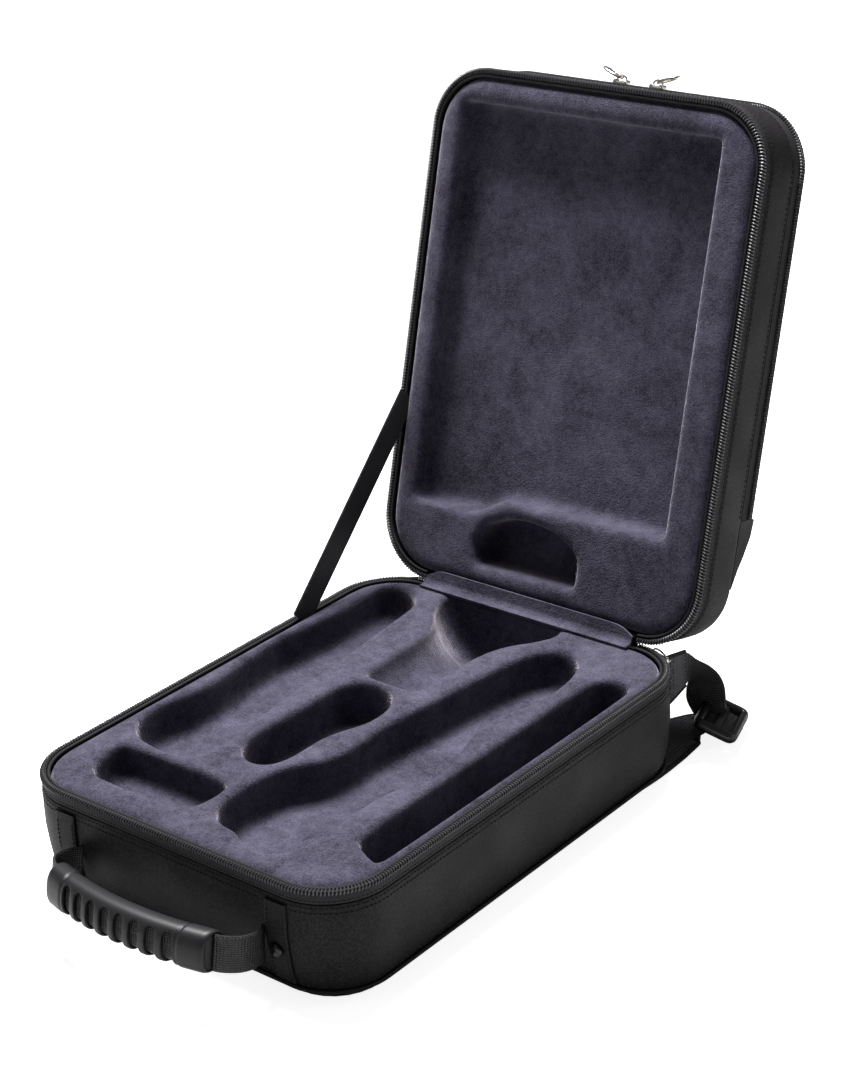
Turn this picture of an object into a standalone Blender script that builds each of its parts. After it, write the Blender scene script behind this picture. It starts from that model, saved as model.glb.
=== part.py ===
# Soft shelled clarinet case with a zipped lid, a lid pocket, a carry handle and shoulder straps.
# Metres, +Z up. The origin is the centre of the underside, +X is the case's right hand wall,
# -Y is the handle end and +Y the hinge end. The lid stands open, as the case is used.

from math import cos, pi, radians, sin

import bmesh
import bpy
from mathutils import Matrix, Vector

# Driving dimensions of the case
CASE_WIDTH = 0.264
CASE_LENGTH = 0.354
RIM_HEIGHT = 0.079
LID_DEPTH = 0.057
CORNER_RADIUS = 0.042
BOTTOM_INSET = 0.0125
OPEN_ANGLE = radians(105.6)
HINGE_SETBACK = 0.0016
HINGE_RISE = 0.003

# Shell, back panel and clearances
WALL = 0.003
GAP = 0.0003
RIM_GAP = 0.00025
BACK_PANEL_THICKNESS = 0.0085
TAPE_BAND = 0.010
LIP_INSET = 0.0015
LIP_DROP = 0.003
LEDGE_RISE = 0.0002
PANEL_DEPTH_SHARE = 0.70
PANEL_EDGE_RADIUS = 0.006
OVERRUN = 0.004
CAP_WELD = 0.00003

# Zips
TAPE_THICKNESS = 0.001
TAPE_INSET = 0.0002
TOOTH_RADIUS = 0.00115
TOOTH_INSET = 0.0009
BINDING_RADIUS = 0.00125
BINDING_INSET = 0.0036
ZIP_END_CLEARANCE = 0.0009
POCKET_TAPE_WIDTH = 0.0067
POCKET_TOOTH_RADIUS = 0.00085
POCKET_TAPE_INSET = 0.0008
POCKET_WALL_INSET = 0.0022
POCKET_SHEET = 0.002
POCKET_SPLIT_SHARE = 0.50
POCKET_TAPE_SHARE = 0.55

# Plush insert and its recesses
INSERT_INSET = 0.0052
INSERT_DROP = 0.0004
INSERT_EDGE_RADIUS = 0.009
INSERT_FOOT_INSET = 0.0033
INSERT_KNEE_SHARE = 0.28
JOINT_RECESS_DEPTH = 0.028
BARREL_RECESS_DEPTH = 0.024
MOUTHPIECE_RECESS_DEPTH = 0.032
ACCESSORY_WELL_DEPTH = 0.052
RECESS_LIP = 0.002
RECESS_FLOOR_RADIUS = 0.005
LID_RECESS_DEPTH = 0.020
BELL_HOLLOW_DEPTH = 0.026

# Handle
HANDLE_PIVOT_HEIGHT = 0.0345
HANDLE_ANGLE = radians(11)
HANDLE_SPAN = 0.155
HANDLE_REACH = 0.042
GRIP_END_CLEARANCE = 0.0135
GRIP_HEIGHT = 0.025
GRIP_THICKNESS = 0.019
GRIP_BOW = 0.010
GRIP_SLOTS = 8
GRIP_SLOT_WIDTH = 0.0064
GRIP_SLOT_PITCH = 0.0117
WEBBING_WIDTH = 0.0225
WEBBING_THICKNESS = 0.002
TAB_WIDTH = 0.016
TAB_THICKNESS = 0.0014
TAB_FOOT_SHARE = 0.145
RIVET_RADIUS = 0.0045
RIVET_HEIGHT = 0.0028
GRIP_SLOT_HEIGHT_SHARE = 0.40

# Sliders
SLIDER_LENGTH = 0.011
SLIDER_WIDTH = 0.0064
SLIDER_HEIGHT = 0.0036
BRIDGE_LENGTH = 0.0085
BRIDGE_THICKNESS = 0.0016
BRIDGE_RISE = 0.0033
BRIDGE_WALL = 0.0010
PULL_LENGTH = 0.019
PULL_WIDTH = 0.0072
PULL_WIRE_RADIUS = 0.0006
SLIDER_EDGE = 0.0008
POCKET_SLIDER_SPREAD = 0.029
PULL_FOOT_SHARE = 0.75
PULL_NOSE_SHARE = 0.8
MAIN_SLIDER_SHARE = 0.36
MAIN_SLIDER_TURN = radians(25)
PULL_LIFT = radians(20)

# Straps
STRAP_PAD_WIDTH = 0.054
STRAP_PAD_THICKNESS = 0.006
STRAP_PAD_EDGE = 0.0015
STRAP_CHANNEL_CLEARANCE = 0.0015
STRAP_WEB_WIDTH = 0.025
STRAP_WEB_THICKNESS = 0.0018
STRAP_WING_THICKNESS = 0.002
BUCKLE_LENGTH = 0.040
BUCKLE_WIDTH = 0.030
BUCKLE_THICKNESS = 0.005
BUCKLE_BAR = 0.0045
WING_ROOT_WIDTH = 0.0425
WING_ROOT_SHARE = 0.765
WING_CLEARANCE = 0.00035
WING_TIP_SHARES = (0.80, 1.165, 0.66)
STAY_WIDTH = 0.020
STAY_THICKNESS = 0.0014
STAY_INSET = 0.0058
STAY_SINK = 0.0026
STAY_BASE_SHARE = 0.465
STAY_LID_SHARE = 0.30
HINGE_SHEET = 0.001
HINGE_END_CLEARANCE = 0.00198
HINGE_REACH_SHARE = 0.62
LINER_REACH_SHARE = 0.9
LINER_BEND_SHARE = 0.35
LINER_FOLD_SHARE = 0.2

# How finely curves are drawn
CORNER_STEPS = 7
OUTLINE_STEPS = 2
TURNED_STEPS = 24
GRIP_STEPS = 16
GRIP_SIDES = 16
FLAT_SIDES = 4
RIVET_SIDES = 16
PULL_NOSE_STEPS = 8

# Places worked out from the driving dimensions
HALF_WIDTH = CASE_WIDTH / 2
HALF_LENGTH = CASE_LENGTH / 2
HINGE_Y = HALF_LENGTH - HINGE_SETBACK
HINGE_Z = RIM_HEIGHT + HINGE_RISE
SEAM_HEIGHT = RIM_HEIGHT - TAPE_BAND
LIP_TOP = RIM_HEIGHT - LIP_DROP
SHELL_FOOT = BACK_PANEL_THICKNESS + GAP
SHELL_FLOOR_TOP = SHELL_FOOT + WALL
INSERT_TOP = RIM_HEIGHT - INSERT_DROP
PANEL_DEPTH = LID_DEPTH * PANEL_DEPTH_SHARE
POCKET_SPLIT_Y = HALF_LENGTH * POCKET_SPLIT_SHARE
ZIP_END_X = HALF_WIDTH - CORNER_RADIUS - ZIP_END_CLEARANCE
HINGE_HALF_WIDTH = ZIP_END_X - HINGE_END_CLEARANCE
HANDLE_HALF_SPAN = HANDLE_SPAN / 2
GRIP_LENGTH = HANDLE_SPAN - GRIP_END_CLEARANCE * 2

# Wall profile of the base: share of the rim height, share of the bottom inset
BASE_PROFILE_SHARES = (
    (0.0, 1.0), (0.025, 0.74), (0.06, 0.55), (0.11, 0.40), (0.16, 0.29), (0.24, 0.15),
    (0.36, 0.04), (0.55, -0.06), (0.72, -0.05), (0.86, 0.0), (1.0, 0.0),
)
# Rounded edge of a plush block: share of the edge radius downwards, share of it inwards
PLUSH_EDGE_SHARES = ((1.0, 0.0), (0.62, 0.02), (0.32, 0.12), (0.12, 0.34), (0.02, 0.68), (0.0, 1.0))

# Rounded floor of a recess: share of the floor radius upwards, share of it inwards
RECESS_FLOOR_SHARES = ((0.0, 1.0), (0.3, 0.35), (1.0, 0.0))
# Soft lip of a recess: share of the lip downwards, share of it outwards
RECESS_LIP_SHARES = ((2.0, 0.0), (0.6, 0.35), (0.0, 1.0))
# Rounded edge of the pocket flap: share of its wall's rise, share of it inwards
FLAP_PROFILE_SHARES = ((0.0, 0.0), (0.45, 0.0), (0.72, 0.12), (0.90, 0.45), (0.97, 0.75), (1.0, 1.3))
# Side of a slider's pull: share of its half width, share of its reach
PULL_SIDE_SHARES = ((0.97, 0.06), (1.0, 0.16), (1.0, 0.5))
# Domed rivet: share of its radius, share of its height
RIVET_PROFILE_SHARES = ((1.0, 0.0), (1.0, 0.2), (0.92, 0.5), (0.68, 0.82), (0.35, 1.0))
# Handle webbing from the wall to the grip: share of the reach, of the sideways spread, of the turn
HANDLE_WEB_SHARES = (
    (0.06, 0.75, 0.0), (0.22, 0.95, 0.5), (0.45, 1.05, 1.0), (0.68, 0.92, 1.0),
    (0.86, 0.58, 1.0), (0.96, 0.25, 1.0), (1.0, 0.0, 1.0),
)
# Strap webbing from the wing to the buckle: share of the way, share of the webbing's width
# outwards, share of the rim height upwards, share of the twist
STRAP_WEB_SHARES = (
    (0.25, 0.10, 0.10, 0.10), (0.5, 0.22, 0.16, 0.35), (0.75, 0.26, 0.14, 0.70),
    (0.92, 0.12, 0.03, 0.92),
)
STAY_SHARES = (0.0, 0.08, 0.5, 0.92, 1.0)

# Recess outlines as shares of the half width and half length of the case
UPPER_JOINT_SHARES = (
    (-0.86, 0.85), (-0.79, 0.89), (-0.67, 0.88), (-0.575, 0.81), (-0.545, 0.67), (-0.515, 0.48),
    (-0.485, 0.28), (-0.455, 0.03), (-0.42, -0.21), (-0.38, -0.41), (-0.385, -0.52),
    (-0.47, -0.58), (-0.64, -0.575), (-0.78, -0.55), (-0.88, -0.475), (-0.905, -0.35),
    (-0.86, -0.22), (-0.85, -0.08), (-0.885, 0.09), (-0.905, 0.28), (-0.88, 0.45), (-0.855, 0.62),
)
LOWER_JOINT_SHARES = (
    (0.30, 0.73), (0.38, 0.785), (0.485, 0.785), (0.56, 0.72), (0.60, 0.59), (0.605, 0.46),
    (0.57, 0.35), (0.53, 0.25), (0.54, 0.12), (0.59, 0.0), (0.64, -0.125), (0.635, -0.215),
    (0.575, -0.31), (0.545, -0.42), (0.545, -0.59), (0.55, -0.745), (0.515, -0.835),
    (0.43, -0.885), (0.33, -0.88), (0.225, -0.835), (0.105, -0.82), (0.015, -0.765),
    (-0.01, -0.665), (-0.01, -0.535), (0.04, -0.41), (0.125, -0.33), (0.16, -0.225),
    (0.15, -0.085), (0.165, 0.085), (0.195, 0.255), (0.22, 0.425), (0.25, 0.595),
)
MOUTHPIECE_SHARES = (
    (-0.27, 0.16), (-0.195, 0.205), (-0.09, 0.205), (0.0, 0.16), (0.05, 0.07), (0.05, -0.035),
    (0.0, -0.125), (-0.03, -0.225), (-0.03, -0.35), (-0.06, -0.44), (-0.15, -0.465),
    (-0.255, -0.43), (-0.31, -0.35), (-0.31, -0.20), (-0.30, -0.045), (-0.295, 0.08),
)
BARREL_SHARES = (
    (-0.74, -0.63), (-0.45, -0.622), (-0.14, -0.622), (-0.085, -0.66), (-0.085, -0.77),
    (-0.135, -0.825), (-0.38, -0.838), (-0.63, -0.838), (-0.735, -0.80), (-0.77, -0.725),
    (-0.775, -0.66),
)
ACCESSORY_SHARES = (
    (0.715, -0.64), (0.735, -0.66), (0.80, -0.69), (0.885, -0.715), (0.905, -0.70),
    (0.91, -0.35), (0.91, 0.0), (0.91, 0.35), (0.905, 0.66), (0.875, 0.705), (0.80, 0.71),
    (0.735, 0.68), (0.71, 0.60), (0.705, 0.30), (0.705, 0.0), (0.705, -0.32),
)
# Bell recess, turned about a lengthwise axis: share of the half length, share of the half width
BELL_AXIS_SHARE = -0.106
BELL_PROFILE_SHARES = (
    (0.235, 0.0), (0.24, 0.155), (0.28, 0.17), (0.40, 0.172), (0.54, 0.175), (0.62, 0.188),
    (0.68, 0.212), (0.74, 0.255), (0.80, 0.32), (0.86, 0.365), (0.93, 0.375), (0.935, 0.0),
)
# Lid recess and the hollow over the bell, in the same shares
LID_RECESS_SHARES = (
    (-0.82, -0.87), (0.74, -0.87), (0.74, 0.60), (-0.25, 0.612), (-0.42, 0.685), (-0.82, 0.695),
)
BELL_HOLLOW_SHARES = (
    (-0.375, 0.885), (-0.395, 0.80), (-0.34, 0.725), (-0.23, 0.685), (-0.08, 0.67),
    (0.09, 0.685), (0.19, 0.72), (0.25, 0.76), (0.255, 0.875),
)
# Side view of the pocket's sewn lower end: share of the half length, share of the pocket depth
POCKET_END_SHARES = (
    (0.0, 0.0), (0.0, 1.0), (0.065, 0.92), (0.135, 0.62), (0.19, 0.32), (0.255, 0.05), (0.262, 0.0),
)
# Shoulder pad: share of the half width, of the half length, of the pad's width, and of its
# thickness as a lift
PAD_STATION_SHARES = (
    (0.535, -0.62, 0.70, 0.0), (0.56, -0.52, 1.0, 0.0), (0.63, 0.0, 1.0, 0.0),
    (0.69, 0.43, 1.0, 0.0), (0.735, 0.79, 0.98, 0.0), (0.755, 0.98, 0.88, 0.0),
    (0.78, 1.09, 0.76, 0.133), (0.822, 1.165, 0.64, 0.417), (0.868, 1.19, 0.58, 0.667),
)


def clear_scene():
    for item in list(bpy.data.objects):
        bpy.data.objects.remove(item, do_unlink=True)


def new_collection(name):
    group = bpy.data.collections.new(name)
    bpy.context.scene.collection.children.link(group)
    return group


def finish(name, colour, roughness, metallic=0.0):
    """A plain surface in the part's colour."""
    material = bpy.data.materials.new(name)
    material.use_nodes = True
    shader = material.node_tree.nodes["Principled BSDF"]
    shader.inputs["Base Color"].default_value = (*colour, 1.0)
    shader.inputs["Roughness"].default_value = roughness
    shader.inputs["Metallic"].default_value = metallic
    return material


FINISHES = {
    "fabric": ((0.012, 0.012, 0.013), 0.62, 0.0),
    "tape": ((0.010, 0.010, 0.011), 0.75, 0.0),
    "coil": ((0.020, 0.020, 0.021), 0.35, 0.0),
    "plush": ((0.085, 0.082, 0.110), 0.95, 0.0),
    "rubber": ((0.020, 0.020, 0.021), 0.45, 0.0),
    "webbing": ((0.009, 0.009, 0.010), 0.80, 0.0),
    "mesh": ((0.011, 0.011, 0.012), 0.85, 0.0),
    "plastic": ((0.015, 0.015, 0.016), 0.40, 0.0),
    "nickel": ((0.560, 0.550, 0.530), 0.22, 1.0),
    "black_metal": ((0.020, 0.020, 0.020), 0.30, 0.8),
}


class Carrier:
    """An empty on a joint's axis, with the place that the axis has when the case is shut."""

    def __init__(self, name, home, turn=0.0, parent=None, yaw=0.0):
        self.home = Vector(home)
        self.empty = bpy.data.objects.new(name, None)
        PARTS.objects.link(self.empty)
        if parent is None:
            self.empty.location = self.home
        else:
            self.empty.parent = parent.empty
            self.empty.location = self.home - parent.home
        self.empty.rotation_euler = (turn, 0.0, yaw)


def add_part(name, mesh, kind, carrier=None, group=None):
    """One named object. Its mesh is drawn with the case shut and hung on its carrier."""
    mesh.name = name
    part = bpy.data.objects.new(name, mesh)
    (group or PARTS).objects.link(part)
    if carrier is not None:
        mesh.transform(Matrix.Translation(-carrier.home))
        part.parent = carrier.empty
    if kind is not None:
        colour, roughness, metallic = FINISHES[kind]
        mesh.materials.append(finish(name + "_finish", colour, roughness, metallic))
    return part


def add_cutter(name, mesh, carrier=None):
    cutter = add_part(name, mesh, None, carrier, CUTTERS)
    cutter.hide_render = True
    cutter.display_type = "WIRE"
    return cutter


def cut(part, cutter, operation="DIFFERENCE"):
    modifier = part.modifiers.new(operation.lower() + "_" + cutter.name, "BOOLEAN")
    modifier.operation = operation
    modifier.object = cutter
    modifier.solver = "EXACT"


def thicken(part, thickness, offset=-1.0):
    modifier = part.modifiers.new("sheet", "SOLIDIFY")
    modifier.thickness = thickness
    modifier.offset = offset
    modifier.use_even_offset = True


def round_edges(part, width, segments=2, angle=radians(40)):
    modifier = part.modifiers.new("rounded", "BEVEL")
    modifier.width = width
    modifier.segments = segments
    modifier.limit_method = "ANGLE"
    modifier.angle_limit = angle


def shade_round(part, angle=radians(40)):
    part.data.shade_smooth()
    part.data.set_sharp_from_angle(angle=angle)


def mesh_from(bm):
    mesh = bpy.data.meshes.new("mesh")
    bm.to_mesh(mesh)
    bm.free()
    return mesh


def facing_out(mesh):
    """Turn the faces of a closed mesh outwards."""
    bm = bmesh.new()
    bm.from_mesh(mesh)
    bmesh.ops.recalc_face_normals(bm, faces=bm.faces)
    bm.to_mesh(mesh)
    bm.free()
    return mesh


def loft(rings, closed=True, cap_first=False, cap_last=False):
    """Skin between rings of equal length; each ring runs anticlockwise seen from above."""
    bm = bmesh.new()
    rows = [[bm.verts.new(point) for point in ring] for ring in rings]
    count = len(rows[0])
    for low, high in zip(rows, rows[1:]):
        for i in range(count if closed else count - 1):
            j = (i + 1) % count
            bm.faces.new((low[i], low[j], high[j], high[i]))
    if cap_first:
        bm.faces.new(list(reversed(rows[0])))
    if cap_last:
        bm.faces.new(rows[-1])
    return mesh_from(bm)


def corner(inset, side_x, side_y):
    """One rounded corner of the case's outline, drawn in by an inset, anticlockwise."""
    start = {(1, 1): 0.0, (-1, 1): pi / 2, (-1, -1): pi, (1, -1): pi * 3 / 2}[side_x, side_y]
    centre_x = side_x * (HALF_WIDTH - CORNER_RADIUS)
    centre_y = side_y * (HALF_LENGTH - CORNER_RADIUS)
    radius = CORNER_RADIUS - inset
    points = []
    for step in range(CORNER_STEPS + 1):
        angle = start + step / CORNER_STEPS * pi / 2
        points.append((centre_x + radius * cos(angle), centre_y + radius * sin(angle)))
    return points


def case_outline(inset):
    """The case's whole outline, drawn in by an inset."""
    return corner(inset, 1, 1) + corner(inset, -1, 1) + corner(inset, -1, -1) + corner(inset, 1, -1)


def zip_path(inset):
    """From the left end on the hinge wall, round three sides, to the right end."""
    back = HALF_LENGTH - inset
    return ([(-ZIP_END_X, back)] + corner(inset, -1, 1) + corner(inset, -1, -1)
            + corner(inset, 1, -1) + corner(inset, 1, 1) + [(ZIP_END_X, back)])


def pocket_path(inset, end_y):
    """From the left end of the pocket zip, round the lid's free edge, to the right end."""
    side = HALF_WIDTH - inset
    return [(-side, end_y)] + corner(inset, -1, -1) + corner(inset, 1, -1) + [(side, end_y)]


def at_height(outline, height):
    return [Vector((x, y, height)) for x, y in outline]


def inset_at(height):
    """How far the base wall stands inside the rim at a height."""
    share = height / RIM_HEIGHT
    for (low, inset_low), (high, inset_high) in zip(BASE_PROFILE_SHARES, BASE_PROFILE_SHARES[1:]):
        if share <= high:
            return BOTTOM_INSET * (inset_low + (inset_high - inset_low) * (share - low) / (high - low))
    return 0.0


def profile_heights(low, high):
    """Heights of the wall profile's own breaks between two heights."""
    inner = [share * RIM_HEIGHT for share, _ in BASE_PROFILE_SHARES]
    return [low] + [height for height in inner if low + WALL / 2 < height < high - WALL / 2] + [high]


def smooth_outline(shares):
    """A closed smooth curve through points given as shares of the half width and half length."""
    points = [Vector((x * HALF_WIDTH, y * HALF_LENGTH)) for x, y in shares]
    count = len(points)
    curve = []
    for i in range(count):
        before, start, end, after = (points[(i + k) % count] for k in (-1, 0, 1, 2))
        for step in range(OUTLINE_STEPS):
            t = step / OUTLINE_STEPS
            curve.append(0.5 * (
                2 * start + (end - before) * t
                + (2 * before - 5 * start + 4 * end - after) * t * t
                + (3 * start - before - 3 * end + after) * t * t * t))
    return anticlockwise(curve)


def corner_outline(shares):
    return anticlockwise([Vector((x * HALF_WIDTH, y * HALF_LENGTH)) for x, y in shares])


def anticlockwise(points):
    area = sum(a.x * b.y - b.x * a.y for a, b in zip(points, points[1:] + points[:1]))
    return points if area > 0 else list(reversed(points))


def swell(outline, distance):
    """Move each point of an anticlockwise outline outwards."""
    moved = []
    count = len(outline)
    for i, point in enumerate(outline):
        along = (outline[(i + 1) % count] - outline[i - 1]).normalized()
        moved.append(point + Vector((along.y, -along.x)) * distance)
    return moved


def recess_cutter(name, outline, top, depth, upwards=1.0, carrier=None):
    """A pocket with a soft lip and a rounded floor, cut down from a plush face."""
    stages = [(depth - RECESS_FLOOR_RADIUS * up, -RECESS_FLOOR_RADIUS * inwards)
              for up, inwards in RECESS_FLOOR_SHARES]
    stages += [(RECESS_LIP * down, RECESS_LIP * outwards) for down, outwards in RECESS_LIP_SHARES]
    stages.append((-OVERRUN, RECESS_LIP))
    rings = [at_height(swell(outline, grow), top - upwards * down) for down, grow in stages]
    if upwards < 0:
        rings.reverse()
    return add_cutter(name, loft(rings, cap_first=True, cap_last=True), carrier)


def tube(name, points, radius, kind, carrier=None, cyclic=False, resolution=1):
    """A round cord through points, made a mesh with its caps joined."""
    curve = bpy.data.curves.new(name, "CURVE")
    curve.dimensions = "3D"
    curve.bevel_depth = radius
    curve.bevel_resolution = resolution
    curve.use_fill_caps = True
    spline = curve.splines.new("POLY")
    spline.points.add(len(points) - 1)
    for target, point in zip(spline.points, points):
        target.co = (*point, 1.0)
    spline.use_cyclic_u = cyclic
    holder = bpy.data.objects.new(name + "_line", curve)
    PARTS.objects.link(holder)
    bpy.context.view_layer.update()
    mesh = bpy.data.meshes.new_from_object(holder.evaluated_get(bpy.context.evaluated_depsgraph_get()))
    bpy.data.objects.remove(holder, do_unlink=True)
    bm = bmesh.new()
    bm.from_mesh(mesh)
    bmesh.ops.remove_doubles(bm, verts=bm.verts, dist=CAP_WELD)
    bm.to_mesh(mesh)
    bm.free()
    facing_out(mesh)
    mesh.materials.clear()
    part = add_part(name, mesh, kind, carrier)
    shade_round(part)
    return part


def ribbon(name, stations, thickness, kind, carrier=None):
    """A flat band through stations, each a centre, a direction across and a width."""
    rings = []
    for centre, across, width in stations:
        reach = Vector(across).normalized() * width / 2
        rings.append([Vector(centre) - reach, Vector(centre) + reach])
    part = add_part(name, loft(rings, closed=False), kind, carrier)
    thicken(part, thickness, 0.0)
    return part


def block(name, low, high, kind, carrier=None, cutter=False):
    """A box between two corners."""
    bm = bmesh.new()
    bmesh.ops.create_cube(bm, size=1.0)
    size = Vector(high) - Vector(low)
    middle = (Vector(high) + Vector(low)) / 2
    bmesh.ops.scale(bm, vec=size, verts=bm.verts)
    bmesh.ops.translate(bm, vec=middle, verts=bm.verts)
    if cutter:
        return add_cutter(name, mesh_from(bm), carrier)
    return add_part(name, mesh_from(bm), kind, carrier)


# Base of the case

def make_back_panel():
    heights = profile_heights(0.0, BACK_PANEL_THICKNESS)
    rings = [at_height(case_outline(inset_at(height)), height) for height in heights]
    panel = add_part("back_panel", loft(rings, cap_first=True, cap_last=True), "fabric")
    for side in (-1, 1):
        cut(panel, strap_channel(side))
    shade_round(panel)
    return panel


def strap_channel(side):
    """The groove in which a shoulder pad lies under the case, open at the hinge end."""
    rings = []
    for station in pad_stations(side)[:6]:
        centre, across, width = station
        reach = Vector(across).normalized() * (width / 2 + STRAP_CHANNEL_CLEARANCE)
        low, high = -OVERRUN, STRAP_PAD_THICKNESS + STRAP_CHANNEL_CLEARANCE / 2
        left, right = centre - reach, centre + reach
        rings.append([Vector((left.x, left.y, low)), Vector((right.x, right.y, low)),
                      Vector((right.x, right.y, high)), Vector((left.x, left.y, high))])
    first = rings[0]
    back_step = Vector((0.0, -STRAP_CHANNEL_CLEARANCE, 0.0))
    rings[0] = [point + back_step for point in first]
    mesh = facing_out(loft(rings, cap_first=True, cap_last=True))
    return add_cutter("strap_channel_" + side_name(side), mesh)


def make_base_shell():
    heights = profile_heights(SHELL_FOOT, SEAM_HEIGHT)
    rings = [at_height(case_outline(inset_at(height)), height) for height in heights]
    rings.append(at_height(case_outline(LIP_INSET), SEAM_HEIGHT + LEDGE_RISE))
    rings.append(at_height(case_outline(LIP_INSET), LIP_TOP))
    shell = add_part("base_shell", loft(rings, cap_first=True), "fabric")
    thicken(shell, WALL)
    shade_round(shell)
    return shell


def make_base_piping():
    height = BACK_PANEL_THICKNESS + GAP / 2
    radius = BINDING_RADIUS * 1.2
    path = at_height(case_outline(inset_at(height) - radius - GAP), height)
    return tube("base_piping", path, radius, "tape", cyclic=True)


def make_zip(prefix, rim, upwards, carrier=None):
    """Tape, coil and inner binding of one half of the main zip."""
    tape_low = rim + upwards * (TAPE_BAND - LEDGE_RISE * 3)
    tape_high = rim + upwards * LIP_DROP
    low, high = sorted((tape_low, tape_high))
    outline = zip_path(TAPE_INSET)
    tape = add_part(prefix + "_zip_tape",
                    loft([at_height(outline, low), at_height(outline, high)], closed=False),
                    "tape", carrier)
    thicken(tape, TAPE_THICKNESS)
    coil_height = rim + upwards * (RIM_GAP + TOOTH_RADIUS)
    tube(prefix + "_zip_teeth", at_height(zip_path(TOOTH_INSET), coil_height),
         TOOTH_RADIUS, "coil", carrier)
    tube(prefix + "_rim_binding", at_height(zip_path(BINDING_INSET), coil_height),
         BINDING_RADIUS, "tape", carrier)


def make_base_insert():
    floor = SHELL_FLOOR_TOP + GAP
    foot = inset_at(SHELL_FOOT) + INSERT_FOOT_INSET
    knee = RIM_HEIGHT * INSERT_KNEE_SHARE
    rings = [at_height(case_outline(foot), floor),
             at_height(case_outline(inset_at(knee) + WALL + INSERT_FOOT_INSET / 2), knee)]
    for down, inwards in PLUSH_EDGE_SHARES:
        inset = INSERT_INSET + INSERT_EDGE_RADIUS * inwards
        rings.append(at_height(case_outline(inset), INSERT_TOP - INSERT_EDGE_RADIUS * down))
    insert = add_part("base_insert", loft(rings, cap_first=True, cap_last=True), "plush")
    recesses = (
        ("upper_joint_recess", UPPER_JOINT_SHARES, JOINT_RECESS_DEPTH),
        ("lower_joint_recess", LOWER_JOINT_SHARES, JOINT_RECESS_DEPTH),
        ("mouthpiece_recess", MOUTHPIECE_SHARES, MOUTHPIECE_RECESS_DEPTH),
        ("barrel_recess", BARREL_SHARES, BARREL_RECESS_DEPTH),
        ("accessory_well", ACCESSORY_SHARES, ACCESSORY_WELL_DEPTH),
    )
    for name, shares, depth in recesses:
        cut(insert, recess_cutter(name, smooth_outline(shares), INSERT_TOP, depth))
    cut(insert, bell_cutter())
    shade_round(insert)
    return insert


def bell_cutter():
    """The bell's own turned shape, lying on its side with its axis in the plush face."""
    axis_x = BELL_AXIS_SHARE * HALF_WIDTH
    rings = []
    for along, radius_share in BELL_PROFILE_SHARES[1:-1]:
        radius = radius_share * HALF_WIDTH
        ring = []
        for step in range(TURNED_STEPS):
            angle = 2 * pi * step / TURNED_STEPS
            ring.append(Vector((axis_x + radius * sin(angle), along * HALF_LENGTH,
                                INSERT_TOP + radius * cos(angle))))
        rings.append(ring)
    return add_cutter("bell_recess", facing_out(loft(rings, cap_first=True, cap_last=True)))


# Lid, drawn shut: a depth in the lid is a height above the rim plane

def make_lid_shell(lid):
    deep = RIM_HEIGHT + PANEL_DEPTH
    stages = (
        (RIM_HEIGHT + LIP_DROP, LIP_INSET), (RIM_HEIGHT + TAPE_BAND - LEDGE_RISE, LIP_INSET),
        (RIM_HEIGHT + TAPE_BAND, 0.0), (RIM_HEIGHT + PANEL_DEPTH / 2, -GAP),
        (deep - PANEL_EDGE_RADIUS / 2, 0.0), (deep, LIP_INSET / 2),
    )
    rings = [at_height(case_outline(inset), height) for height, inset in stages]
    shell = add_part("lid_shell", loft(rings, cap_last=True), "fabric", lid)
    thicken(shell, WALL)
    shade_round(shell)
    return shell


def make_lid_insert(lid):
    top = RIM_HEIGHT + INSERT_DROP
    rings = []
    for down, inwards in reversed(PLUSH_EDGE_SHARES):
        inset = INSERT_INSET + INSERT_EDGE_RADIUS * inwards
        rings.append(at_height(case_outline(inset), top + INSERT_EDGE_RADIUS * down))
    back = RIM_HEIGHT + PANEL_DEPTH - WALL - GAP
    rings.append(at_height(case_outline(INSERT_INSET + GAP), back - WALL))
    rings.append(at_height(case_outline(INSERT_INSET + WALL), back))
    insert = add_part("lid_insert", loft(rings, cap_first=True, cap_last=True), "plush", lid)
    cut(insert, recess_cutter("lid_recess", corner_outline(LID_RECESS_SHARES), top,
                              LID_RECESS_DEPTH, -1.0, lid))
    cut(insert, recess_cutter("bell_hollow", corner_outline(BELL_HOLLOW_SHARES), top,
                              BELL_HOLLOW_DEPTH, -1.0, lid))
    shade_round(insert)
    return insert


# Pocket on the outside of the lid

def pocket_levels():
    """Heights of the pocket zip: tapes of both sides, their coils and the flap's foot."""
    floor = RIM_HEIGHT + PANEL_DEPTH
    lower_tape = (floor + GAP, floor + GAP + POCKET_TAPE_WIDTH)
    lower_coil = lower_tape[1] + GAP + POCKET_TOOTH_RADIUS
    upper_coil = lower_coil + 2 * POCKET_TOOTH_RADIUS + GAP
    flap_foot = upper_coil + POCKET_TOOTH_RADIUS + GAP
    return lower_tape, lower_coil, upper_coil, flap_foot


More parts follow.
